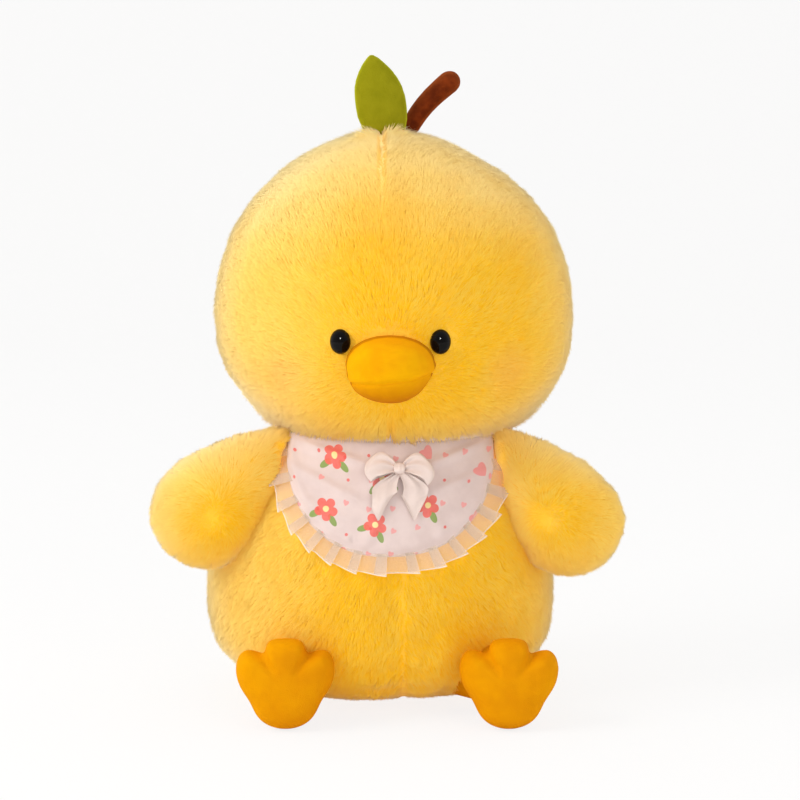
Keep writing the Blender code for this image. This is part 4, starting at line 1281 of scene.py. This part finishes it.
# One pleat: how far along the rim, in pleats, and how high over the cloth below, from 0 to 1
PLEAT_PATH = (
    (-0.50, 0.00), (-0.36, 0.06), (-0.20, 0.20), (-0.02, 0.42), (0.16, 0.68),
    (0.34, 0.90), (0.44, 1.00), (0.43, 0.82), (0.28, 0.64), (0.10, 0.50),
    (0.02, 0.42), (0.04, 0.26), (0.16, 0.10), (0.34, 0.02),
)


def organza():
    """A sheer, stiff weave: pale, half clear, and denser along its rolled hem."""
    paint = Paint("ruffle_organza", roughness=0.45, specular_level=0.35, sheen_weight=0.2)
    where = paint.node("UVMap", {"uv_map": "cloth"})
    hem = paint.step(paint.axes(where)[1], 0.0101, 0.0104)
    grain = paint.noise(1500.0, 2.0, where=where)
    cloth = paint.mix(grain, shade(246, 222, 200), shade(252, 234, 216))
    paint.feed(**{"Base Color": paint.mix(hem, cloth, shade(252, 238, 222))})
    paint.feed(Alpha=0.17 + 0.12 * grain + 0.42 * hem)
    paint.bump(grain, 0.00003)
    return paint.material


def make_ruffle():
    """A long strip whose columns follow the pleat path."""
    steps = len(PLEAT_PATH)
    columns = PLEATS * steps
    piece, along, out = sheet_net("bib_organza_ruffle", columns, 8)
    column = np.rint(along * columns).astype(int)
    pleat, part = column // steps, column % steps
    forward, high = np.array(PLEAT_PATH)[part].T
    wander = 0.10 * np.sin(pleat * 2.3) + 0.06 * np.sin(pleat * 5.1)
    share = np.clip((pleat + 0.5 + forward * (0.96 + wander * 0.3)) / PLEATS, 0.0, 1.0)
    tooth = (high - 0.4) * TOOTH_DEEP
    reach = out * (RUFFLE_DEEP + tooth + 0.0006 * wander)
    x, z = half_disc((share - 0.5) * math.pi, 1.0, -SEAM_IN + reach)
    stand = RUFFLE_OFF + high * (0.0006 + RUFFLE_STAND * out * (1 + wander)) + 0.0008 * out
    spot = on_chest(x, np.minimum(z, BIB_TOP + 0.003), stand)
    return lay(piece, spot, along * RUFFLE_CUT[1], out * RUFFLE_DEEP, RUFFLE_THICK)


ruffle = make_ruffle()
wear(ruffle, organza())
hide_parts("bib_ruffle")
print("ruffle:", len(ruffle.data.polygons), "faces in", PLEATS, "pleats")

# %% [markdown]
# ## Neck band
# A satin tape, folded in half along its length, ties the bib under the head. The head hides
# nearly all of it.

# %% Neck band
BAND_SUNK = 0.0080
BAND_LOWER = 0.0014
TAPE_THICK = 0.00025
# The tape's two layers: how far out, and how high, from 0 to 1
TAPE_FOLD = (
    (0.0004, 0.0), (0.0005, 0.5), (0.0002, 1.0), (-0.0002, 1.0), (-0.0005, 0.5), (-0.0004, 0.0),
)


def make_band():
    """A folded tape on an oval round the neck."""
    low, high = (Vector(corner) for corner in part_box("neck_band"))
    middle, half = (low + high) / 2, (high - low) / 2
    piece, along, out = sheet_net("neck_tape", 160, len(TAPE_FOLD) - 1)
    fold = np.array(TAPE_FOLD)[np.rint(out * (len(TAPE_FOLD) - 1)).astype(int)]
    turn = along * FULL_TURN
    reach = fold[:, 0] - BAND_SUNK
    spot = np.stack([
        middle.x + (half.x + reach) * np.sin(turn),
        middle.y + (half.y + reach) * np.cos(turn),
        low.z - BAND_LOWER + fold[:, 1] * 2 * half.z,
    ], axis=1)
    return lay(piece, spot, along * 0.43, out * 0.010, TAPE_THICK, closed=True)


band = make_band()
wear(band, BAND_SATIN)
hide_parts("neck_band")
print("neck band:", len(band.data.polygons), "faces")

# %% [markdown]
# ## Bow
# A flat ready-made bow of satin ribbon. Each loop is one strip that leaves the knot at the
# front, turns at its far end and comes back behind. It is gathered at the knot, so it is
# narrow there and its folds fan out. The knot is a short strip wrapped round the middle, and
# the tails are two ends, cut to a point, that hang over the satin.

# %% Bow
BOW_X, BOW_Z = 0.0045, 0.1337
BOW_OFF = 0.0010


def bow_place():
    """The bow's place: its -Y stands off the bib, and +Z runs up it."""
    spot, above = on_chest([BOW_X, BOW_X], [BOW_Z, BOW_Z + 0.006], [PANEL_OFF + BOW_OFF] * 2)
    up = Vector(above - spot).normalized()
    inward = up.cross(Vector((1, 0, 0))).normalized()
    across = inward.cross(up)
    turn = Matrix((across, inward, up)).transposed().to_4x4()
    return Matrix.Translation(Vector(spot)) @ turn


def eased(value, end):
    """Rises fast from 0 and comes to rest at 1 where the value reaches its end."""
    return np.sin(0.5 * math.pi * np.minimum(value / end, 1))


def squared(value, power):
    """A sine or cosine drawn towards a square wave."""
    return np.sign(value) * np.abs(value) ** power


BOW_FRAME = bow_place()
print("bow at:", [round(value, 4) for value in BOW_FRAME.translation])

# %% [markdown]
# ## Loops, knot and tails
# Every piece is a flat grid that is bent by a few rules for how far, how wide and how deep it
# runs at each place, and then carried to the bow's place on the bib. The tails are laid on
# the satin like the bib itself, so they follow its folds.

# %% Loops, knot and tails
LOOP_LONG = 0.0172
LOOP_PINCH = 0.0021
LOOP_FLARE = 0.0066
LOOP_DEEP = 0.0021
RIBBON_THICK = 0.00028
KNOT_HALF = (0.0027, 0.0017, 0.0028)
LOOP_DROOP = {"left": -0.0016, "right": 0.0004}
KNOT_SQUARE = 0.62
TAIL_OFF = 0.0022
TAIL_LONG = 0.0240
TAIL_ROOT, TAIL_WIDE = 0.0016, 0.0062
TAIL_SWING = 0.0078
TAIL_TIP = {"left": 0.05, "right": -0.45}


def make_loop(side):
    """One loop: a strip that goes out, round and back."""
    piece, along, out = sheet_net(f"ribbon_loop_{side}", 44, 20)
    turn = along * FULL_TURN
    share = (1 - np.cos(turn)) / 2
    across = (out - 0.5) * 2
    half = LOOP_PINCH + (LOOP_FLARE - LOOP_PINCH) * eased(share, 0.62)
    gather = 0.0007 * np.cos(across * 7.0 + 0.6) * (1 - share) ** 1.1
    depth = LOOP_DEEP * (1 + np.sin(turn) * (0.35 + 0.65 * share)) + gather
    middle = 0.0104 * share - 0.0112 * share ** 2 + LOOP_DROOP[side] * share ** 3
    curl = 0.0013 * np.abs(across) ** 2.5 * share
    spot = np.stack([
        SIDES[side] * (0.0012 + LOOP_LONG * share * (1 - 0.20 * across ** 2 * share)),
        -(depth - curl),
        half * across + middle,
    ], axis=1)
    return lay(piece, moved(BOW_FRAME, spot), along * 0.036, out * 0.0132, RIBBON_THICK)


def make_knot():
    """A strip wrapped round the middle, with soft folds that run round with it."""
    piece, along, out = sheet_net("ribbon_knot", 40, 16)
    turn = along * FULL_TURN
    across = (out - 0.5) * 2
    fold = 1 + 0.07 * np.cos(across * 7.5)
    tuck = 1 - 0.28 * np.abs(across) ** 3
    front = squared(np.cos(turn), KNOT_SQUARE) * fold * tuck
    spot = np.stack([
        KNOT_HALF[0] * across * (1 + 0.05 * np.cos(2 * turn)),
        -KNOT_HALF[1] * (1.15 + front * 1.25),
        KNOT_HALF[2] * squared(np.sin(turn), KNOT_SQUARE) * tuck,
    ], axis=1)
    spot = moved(BOW_FRAME, spot)
    return lay(piece, spot, along * 0.018, out * 0.0055, RIBBON_THICK, closed=True)


def make_tail(side):
    """One tail: it widens a little, waves, and ends on the slant."""
    way = SIDES[side]
    piece, along, out = sheet_net(f"ribbon_tail_{side}", 16, 36)
    across = (along - 0.5) * 2
    half = TAIL_ROOT + (TAIL_WIDE - TAIL_ROOT) * eased(out, 0.42)
    point = np.clip((out - 0.30) / 0.70, 0, 1)
    run = TAIL_LONG * out * (1 - 0.52 * np.abs(across - TAIL_TIP[side]) * point)
    swing = way * TAIL_SWING * eased(out, 0.40)
    x = BOW_X + swing + half * across + 0.0006 * np.sin(out * 4 + way)
    z = BOW_Z - 0.0012 - run
    wave = 0.0008 * np.sin(out * 5.0 + way) + 0.0006 * across ** 2 * out
    wave += 0.0005 * np.cos(across * 5) * (1 - out)
    spot = on_chest(x, z, PANEL_OFF + TAIL_OFF + wave + satin_folds(x, z))
    return lay(piece, spot, out * TAIL_LONG, along * 0.0125, RIBBON_THICK)


loops = [make_loop(side) for side in SIDES]
tails = [make_tail(side) for side in SIDES]
knot = make_knot()
for side, loop, tail in zip(SIDES, loops, tails):
    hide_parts(f"bow_loop_{side}")
    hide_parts(f"bow_tail_{side}")
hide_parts("bow_knot")
for piece in (*loops, *tails, knot):
    wear(piece, RIBBON)
print("bow:", len(loops) + len(tails) + 1, "pieces")

# %% [markdown]
# ## Pile
# Fur fabric is a knitted back with thousands of fibres that lie over one another. Fibres of
# their own would be too many for a mesh, so each tuft is one thin closed spike. Its root is
# sunk in the fabric, and it leans along the nap, which runs away from the bill on the head,
# down the body and out from the dimples on the wings. Tufts lean apart along the seams, get
# short beside the eyes, and are left out where cloth or another piece covers the fabric.

# %% Pile
PILE_LONG = 0.0072
PILE_WIDE = 0.00082
PILE_SUNK = 0.0006
RIPPLE_SIZES = (0.030, 0.017, 0.010, 0.006)
TUFTS_A_PIECE, TUFTS_A_WING = 44000, 30000
HEAD_PIECES, BODY_PIECES = 4, 3


def scattered(skin, count, share, chance):
    """Points spread over a skin by area and by share, with its soft normals there."""
    mesh = skin.data
    mesh.calc_loop_triangles()
    corners = np.empty(len(mesh.loop_triangles) * 3, dtype=np.int64)
    mesh.loop_triangles.foreach_get("vertices", corners)
    corners = corners.reshape(-1, 3)
    spot, outward = points(skin), normals(skin)
    a, b, c = (spot[corners[:, i]] for i in range(3))
    weight = np.linalg.norm(np.cross(b - a, c - a), axis=1) * share((a + b + c) / 3)
    face = chance.choice(len(corners), size=count, p=weight / weight.sum())
    u, v = chance.random(count), chance.random(count)
    u, v = np.where(u + v > 1, 1 - u, u), np.where(u + v > 1, 1 - v, v)
    mix = np.stack([1 - u - v, u, v], axis=1)[:, :, None]
    place = (spot[corners[face]] * mix).sum(axis=1)
    up = unit((outward[corners[face]] * mix).sum(axis=1))
    return place, up, weight.sum() / 2


def ripple(spot, seed):
    """A smooth, repeatable wander from -1 to 1, made of a few waves."""
    chance = np.random.default_rng(seed)
    total = np.zeros(len(spot))
    for size in RIPPLE_SIZES:
        wave = chance.normal(size=3)
        wave *= FULL_TURN / size / np.linalg.norm(wave)
        total += np.sin(spot @ wave + chance.uniform(0, FULL_TURN))
    return total / 2.5


print("pile:", HEAD_PIECES, "pieces on the head,", BODY_PIECES, "on the body, 1 on each wing")

# %% [markdown]
# ## Tufts
# Each tuft gets a direction, a length and a width of its own from one seeded source of chance,
# so the same script always grows the same fur. A colour on each corner tells the finish how
# far up the tuft it is. The normals are those of the fabric below, which is what makes many
# thin spikes look like one soft pile.

# %% Tufts
PILE_LEAN = math.radians(76)
PILE_RIPPLE, PILE_JITTER = 0.30, 0.16
LEAN_RIPPLE, LEAN_JITTER, LEAN_RANGE = 0.07, 0.06, (0.4, 1.46)
LENGTH_RIPPLE, LENGTH_RANGE = 0.10, (0.82, 1.12)
WIDTH_RANGE = (0.8, 1.2)
SPIKE = np.array([[0, 1, 2], [0, 3, 1], [1, 3, 2], [2, 3, 0]])


def flat_lean(spot):
    return np.full(len(spot), PILE_LEAN)


def combed(root, up, nap, stand, chance):
    """The ways in which tufts point: along the nap, each with a wander of its own."""
    along = nap(root)
    along -= (along * up).sum(axis=1, keepdims=True) * up
    along = unit(along + 1e-9)
    side = np.cross(up, along)
    turn = PILE_RIPPLE * ripple(root, 11) + chance.normal(0, PILE_JITTER, len(root))
    heading = along * np.cos(turn)[:, None] + side * np.sin(turn)[:, None]
    lean = stand(root) + LEAN_RIPPLE * ripple(root, 23)
    lean = np.clip(lean + chance.normal(0, LEAN_JITTER, len(root)), *LEAN_RANGE)
    return heading * np.sin(lean)[:, None] + up * np.cos(lean)[:, None]


def spikes(root, up, rise, reach, wide):
    """Corners and faces of closed three-sided spikes, with every face turned outward."""
    broad = unit(np.cross(rise, up)) * wide[:, None]
    deep = np.cross(broad, rise) * 0.55
    low = root - up * PILE_SUNK
    tip = root + rise * reach[:, None]
    corner = np.stack([low + broad, low - broad, low + deep, tip], axis=1)
    edge = corner[:, 1:] - corner[:, :1]
    volume = np.einsum("ij,ij->i", np.cross(edge[:, 0], edge[:, 1]), edge[:, 2])
    turned = np.where(volume[:, None, None] > 0, SPIKE[None, :, ::-1], SPIKE[None])
    rows = (turned + 4 * np.arange(len(root))[:, None, None]).reshape(-1, 3)
    return corner.reshape(-1, 3), rows


def strand_colours(tint, patch):
    """For each corner: 0 at the root and 1 at the tip, the tuft's tint, and its patch."""
    strand = np.zeros((len(tint), 4, 4))
    strand[:, 3, 0] = 1
    strand[:, :, 1] = tint[:, None]
    strand[:, :, 2] = patch[:, None]
    strand[:, :, 3] = 1
    return strand.ravel()


def tufts(name, skin, count, seed, nap, share, length, stand=flat_lean):
    """One piece of pile on a skin. The order of its random draws is part of its shape."""
    chance = np.random.default_rng(seed)
    root, up, area = scattered(skin, count, share, chance)
    rise = combed(root, up, nap, stand, chance)
    reach = length(root) * (1 + LENGTH_RIPPLE * ripple(root, 37))
    reach = reach * chance.uniform(*LENGTH_RANGE, count)
    wide = PILE_WIDE / 2 * chance.uniform(*WIDTH_RANGE, count)
    wide = wide * np.clip(reach / PILE_LONG, 0.6, 1)
    corner, rows = spikes(root, up, rise, reach, wide)
    mesh = bpy.data.meshes.new(name)
    mesh.from_pydata(corner, [], rows)
    piece = bpy.data.objects.new(name, mesh)
    bpy.context.collection.objects.link(piece)
    colours = strand_colours(chance.random(count), np.clip(0.5 + 0.5 * ripple(root, 41), 0, 1))
    layer = mesh.color_attributes.new("strand", "FLOAT_COLOR", "POINT")
    layer.data.foreach_set("color", colours)
    own_grid(mesh, rows, count)
    mesh.shade_smooth()
    soft = np.repeat(up + 0.15 * rise, 4, axis=0)
    mesh.normals_split_custom_set_from_vertices(unit(soft).tolist())
    print(name, count, "tufts on", round(area * 1e4), "cm2")
    return piece


def own_grid(mesh, rows, count):
    """A map with one small cell for each tuft."""
    columns = math.ceil(math.sqrt(count))
    cell = 1 / columns
    index = np.arange(count)
    low = np.stack([index % columns, index // columns], axis=1) * cell
    shape = np.array([[0.1, 0.1], [0.9, 0.1], [0.5, 0.3], [0.5, 0.9]]) * cell
    spots = (low[:, None, :] + shape[None]).reshape(-1, 2)
    layer = mesh.uv_layers.new(name="OFBake")
    layer.data.foreach_set("uv", spots[rows.ravel()].ravel())


# %% [markdown]
# ## Naps
# The nap is the way in which pile lies. A nap here is a rule that gives a direction for every
# place: away from the bill on the face, down the body, and out from the wings' dimples. It
# parts along the seams, because the needle pulls the tufts apart there.

# %% Naps
BILL_CENTRE = np.array([0.0, -0.090, 0.1905])
CHIN_X, CHIN_Z = 0.0003, 0.150
HEAD_PARTED, CHIN_PARTED, BELLY_PARTED = 0.55, 0.3, 0.5


def chin(spot):
    """1 along the low rim of the head, where the pile hangs over the neck."""
    return near(spot[:, 2], CHIN_Z, 0.014)


def head_nap(spot):
    """Away from the bill in front, down behind, and apart along the seams."""
    away = unit(spot - BILL_CENTRE)
    away[:, 2] += 0.10 - 1.2 * chin(spot)
    parted = near(spot[:, 0], crown_line(spot), 0.014) * near(spot[:, 2], 0.292, 0.032)
    away[:, 0] += HEAD_PARTED * parted * np.sign(spot[:, 0] - HEAD_SEAM_X)
    under = near(spot[:, 0], CHIN_X, 0.009) * near(spot[:, 2], 0.155, 0.018) * (spot[:, 1] < 0)
    away[:, 0] += CHIN_PARTED * under * np.sign(spot[:, 0] - CHIN_X)
    down = np.zeros_like(spot)
    down[:, 0] = np.clip((spot[:, 0] - HEAD_SEAM_X) / 0.02, -1, 1)
    down[:, 1:] = 0.15, -1
    behind = np.clip((spot[:, 1] + 0.050) / 0.045, 0, 1)[:, None]
    return (1 - behind) * away + behind * down


def body_nap(spot):
    """Down and out to the sides, and apart along the belly's seam."""
    down = np.zeros_like(spot)
    down[:, 2] = -1
    down[:, 0] = 1.4 * spot[:, 0] / CHEST_HALF[0]
    parted = near(spot[:, 0], BODY_SEAM_X, 0.012) * (spot[:, 1] < 0)
    down[:, 0] += BELLY_PARTED * parted * np.sign(spot[:, 0] - BODY_SEAM_X)
    return down


def wing_nap(side):
    centre = np.array(DIMPLES[side])

    def nap(spot):
        away = spot - centre
        away[:, 1] *= 0.3
        return unit(away) + np.array([0.35 * SIDES[side], 0, -0.45])

    return nap


# %% [markdown]
# ## Masks of the head
# Where the pile grows, and how long it is, is told by soft masks: a share of 1 keeps the tufts
# and 0 leaves them out. They are left out at the bill's root, the eyes and the neck, clipped
# short round the face, and hang longer over the chin.

# %% Masks of the head
BILL_ROOT, BILL_BARE = (0.0, 0.1955), 0.0165
EYES_X, EYES_Z, EYE_BARE = (0.0268, -0.0268), 0.2067, 0.0042
CHIN_LONGER, CROWN_LONGER = 0.32, 0.10
HANGING, CROWN_STANDS = 0.60, 0.20
NECK_HIDDEN = 0.152


def rounds(spot, centre, reach):
    """1 outside a round of the front view, 0 inside it."""
    outside = np.clip((seen_from(spot, *centre) - reach) / 0.003, 0, 1)
    return np.where(spot[:, 1] < -0.02, outside, 1.0)


def at_crown(spot, high, wide):
    """1 where the crown's seam ends, below the leaf and the stem."""
    return near(spot[:, 2], CROWN_Z, high) * near(spot[:, 0], HEAD_SEAM_X, wide)


def head_share(spot):
    """Nothing grows under the bill, the eyes and the neck."""
    share = rounds(spot, BILL_ROOT, BILL_BARE)
    for x in EYES_X:
        share = share * rounds(spot, (x, EYES_Z), EYE_BARE)
    hidden = (spot[:, 2] < NECK_HIDDEN) & (np.hypot(spot[:, 0], spot[:, 1]) < 0.070)
    return np.where(hidden, 0.0, share)


def head_length(spot):
    """Clipped short round the eyes and the bill, longer at the chin and on the crown."""
    ahead = spot[:, 1] < 0
    close = np.ones(len(spot))
    for x in EYES_X:
        away = seen_from(spot, x, EYES_Z)
        close = np.minimum(close, np.where(ahead, 0.42 + away / 0.030, 1))
    away = np.hypot(spot[:, 0] / 1.15, (spot[:, 2] - 0.193) / 0.9)
    close = np.minimum(close, np.where(ahead, 0.30 + away / 0.045, 1))
    longer = 1 + CHIN_LONGER * chin(spot) + CROWN_LONGER * at_crown(spot, 0.010, 0.018)
    return PILE_LONG * np.clip(close, 0.35, 1) * longer


def head_lean(spot):
    """The pile hangs away from the skin at the chin, and stands up a little on the crown."""
    hanging = HANGING * near(spot[:, 2], CHIN_Z, 0.013)
    return PILE_LEAN - hanging - CROWN_STANDS * at_crown(spot, 0.012, 0.020)


# %% [markdown]
# ## Masks of the body and the wings
# No tufts grow under the bib, because they would push through the satin. Beside its rim and
# near the seat they are pressed short, and in the dimples the stitch pulls them in.

# %% Masks of the body and the wings
WING_SHORT, DIMPLE_SHORT = 0.86, 0.45


def bib_share(spot, inward=0.0):
    """Below 1 inside the bib's half disc, seen from the front."""
    across = np.abs(spot[:, 0]) / (BIB_HALF_WIDTH - inward)
    down = np.clip((BIB_TOP - spot[:, 2]) / (BIB_DROP - inward), 0, 9)
    return (across ** BIB_CURVE + down ** BIB_CURVE) ** (1 / BIB_CURVE)


def under_bib(spot):
    inside = (bib_share(spot, 0.002) < 1) & (spot[:, 1] < -0.03) & (spot[:, 2] < 0.158)
    return np.where(inside, 0.0, 1.0)


def body_share(spot):
    """Nothing grows on the neck, the seat and the chest below the bib."""
    top = np.where(spot[:, 2] > NECK_HIDDEN, 0.0, 1.0)
    seat = np.where(spot[:, 2] < 0.0030, 0.0, 1.0)
    return top * seat * under_bib(spot)


def body_length(spot):
    """Short where the bib's rim lies on it, and near the seat."""
    rim = np.where(spot[:, 1] < -0.03, np.clip((bib_share(spot) - 0.98) / 0.22, 0.35, 1), 1.0)
    low = np.clip(spot[:, 2] / 0.018, 0.4, 1)
    return PILE_LONG * rim * low


def wing_share(spot):
    """Nothing grows on the edge that lies against the bib."""
    beside_bib = (np.abs(spot[:, 0]) < 0.0635) & (spot[:, 2] < 0.146) & (spot[:, 1] < -0.035)
    return np.where(beside_bib, 0.0, 1.0)


def wing_length_of(side):
    pressed = dimple_hold(side)
    return lambda spot: PILE_LONG * WING_SHORT * (1 - DIMPLE_SHORT * pressed(spot))


# %% [markdown]
# ## The fur
# Four pieces of pile go on the head, three on the body and one on each wing, all with seeds
# of their own. More than one piece on the same skin gives a denser pile.

# %% The fur
def clad(form, skin, pieces, seed, *rules):
    """Some pieces of pile on one skin, each with its own seed."""
    return [
        tufts(f"{form}_pile_{part}", skin, TUFTS_A_PIECE, seed + part, *rules)
        for part in range(pieces)
    ]


fur = clad("head", head, HEAD_PIECES, 100, head_nap, head_share, head_length, head_lean)
fur += clad("body", body, BODY_PIECES, 200, body_nap, body_share, body_length)
wing_fur = {}
for side, way in SIDES.items():
    rules = wing_nap(side), wing_share, wing_length_of(side)
    wing_fur[side] = tufts(f"wing_pile_{side}", wings[side], TUFTS_A_WING, 300 + way, *rules)
for piece in fur:
    wear(piece, PILE)
for piece in wing_fur.values():
    wear(piece, WING_PILE)
print("pile:", len(fur), "pieces on the head and the body,", len(wing_fur), "on the wings")

# %% [markdown]
# ## Stage
# A pale sheet of paper runs under the duck and up behind it. Seen straight it mostly glows
# white, and the rest of it is lit like paper, so the duck still has a soft shadow to stand on.

# %% Stage
PAPER_WIDE = 6.0
PAPER_BACK = 2.2
PAPER_HIGH = 3.0
PAPER_BEND = 0.8
PAPER_GLOW = 0.84


def choose_edges(piece, test):
    """Selects the edges of which both ends pass a test."""
    for edge in piece.data.edges:
        edge.select = all(test(piece.data.vertices[i].co) for i in edge.vertices)


def make_paper():
    """A floor that bends up into a wall."""
    paper = add(bpy.ops.mesh.primitive_plane_add, size=1.0)
    paper.name = "paper"
    paper.scale = (PAPER_WIDE, 2 * PAPER_BACK, 1.0)
    settle(paper)
    bpy.ops.object.mode_set(mode="EDIT")
    bpy.ops.mesh.select_mode(type="EDGE")
    bpy.ops.mesh.select_all(action="DESELECT")
    bpy.ops.object.mode_set(mode="OBJECT")
    choose_edges(paper, lambda end: end.y > 0)
    bpy.ops.object.mode_set(mode="EDIT")
    bpy.ops.mesh.extrude_edges_move(TRANSFORM_OT_translate={"value": (0, 0, PAPER_HIGH)})
    bpy.ops.object.mode_set(mode="OBJECT")
    choose_edges(paper, lambda end: end.y > 0 and end.z < 0.01)
    bpy.ops.object.mode_set(mode="EDIT")
    bpy.ops.mesh.bevel(offset=PAPER_BEND, segments=16, affect="EDGES")
    bpy.ops.object.mode_set(mode="OBJECT")
    return smooth(paper)


def paper_white():
    """Mostly a white glow to the camera, and plain paper to the light."""
    paint = Paint("paper_white", base_color=shade(246, 245, 244), roughness=0.9, specular_level=0.1)
    seen = paint.node("LightPath", output="Is Camera Ray")
    glow = paint.node("Emission", None, {"Color": (1, 1, 1, 1), "Strength": 1.0})
    plain = Wire(paint, paint.shader.outputs[0])
    mixed = paint.node("MixShader", None, {0: seen * PAPER_GLOW, 1: plain, 2: glow})
    paint.tree.links.new(mixed.socket, paint.tree.nodes["Material Output"].inputs["Surface"])
    return paint.material


paper = make_paper()
paper.data.materials.append(paper_white())
paper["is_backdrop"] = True
print("paper:", len(paper.data.polygons), "faces")

# %% [markdown]
# ## Room and lamps
# One large soft lamp hangs at the upper left, as in the photograph, and a weaker one fills the
# right. A third, small lamp lights nothing and only leaves a glint in each eye. The room is
# brighter behind the duck than in front of it, which lights the rim of the pile.

# %% Room and lamps
ROOM_FRONT, ROOM_BACK = 0.42, 1.05
MIDDLE, FACE = (0.0, 0.0, 0.17), (0.0, -0.1, 0.2)


def hang_lamp(name, place, aim, size, power, colour, shine):
    """A square lamp that looks at a point: soft light only, or only the glint that it leaves."""
    bpy.ops.object.light_add(type="AREA", location=place)
    lamp = bpy.context.object
    lamp.name = name
    lamp.rotation_euler = (Vector(aim) - Vector(place)).to_track_quat("-Z", "Y").to_euler()
    lamp.data.size = size
    lamp.data.energy = power
    lamp.data.color = colour
    lamp.visible_glossy = shine != "soft"
    lamp.visible_diffuse = shine != "glint"
    return lamp


def light_room():
    """A pale room, dimmer in front of the duck than behind it."""
    world = bpy.data.worlds.new("room")
    world.use_nodes = True
    tree = world.node_tree
    sky = tree.nodes["Background"]
    sky.inputs["Color"].default_value = (1.0, 0.985, 0.965, 1.0)
    way = tree.nodes.new("ShaderNodeTexCoord")
    split = tree.nodes.new("ShaderNodeSeparateXYZ")
    rise = tree.nodes.new("ShaderNodeMapRange")
    tree.links.new(way.outputs["Generated"], split.inputs[0])
    tree.links.new(split.outputs["Y"], rise.inputs["Value"])
    tree.links.new(rise.outputs[0], sky.inputs["Strength"])
    levels = {"From Min": -0.8, "From Max": 0.4, "To Min": ROOM_FRONT, "To Max": ROOM_BACK}
    for name, value in levels.items():
        rise.inputs[name].default_value = value
    bpy.context.scene.world = world


light_room()
hang_lamp("key", (-1.6, -0.8, 1.25), MIDDLE, 1.1, 22.5, (1.0, 0.985, 0.96), "soft")
hang_lamp("fill", (0.9, -1.7, 0.8), MIDDLE, 1.2, 9.0, (1.0, 0.965, 0.93), "soft")
hang_lamp("catch_light", (0.0, -1.25, 0.80), FACE, 0.22, 15.0, (1.0, 0.99, 0.97), "glint")
print("lamps: 3")

# %% [markdown]
# ## Bodies
# Everything but the wings rides with the torso. A wing is sewn on at its shoulder seam; its
# cloth and its pile only have their places put into their meshes. The last lines note the
# sizes of the solids and of the dressed duck.

# %% Rides
TORSO = [body, head, leaf, stem, *feet, *bill.values(), *eyes, panel, lining, ruffle, band]
TORSO += [*loops, *tails, knot, *fur]
for piece in TORSO:
    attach(piece, "torso")
for side, way in SIDES.items():
    for piece in (wings[side], wing_fur[side]):
        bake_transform(piece)

looks_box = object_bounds()
sizes = {"solids": solid_box, "looks": looks_box}
sizes = {name: [[round(float(v), 6) for v in corner] for corner in box] for name, box in sizes.items()}
print("sizes:", sizes)
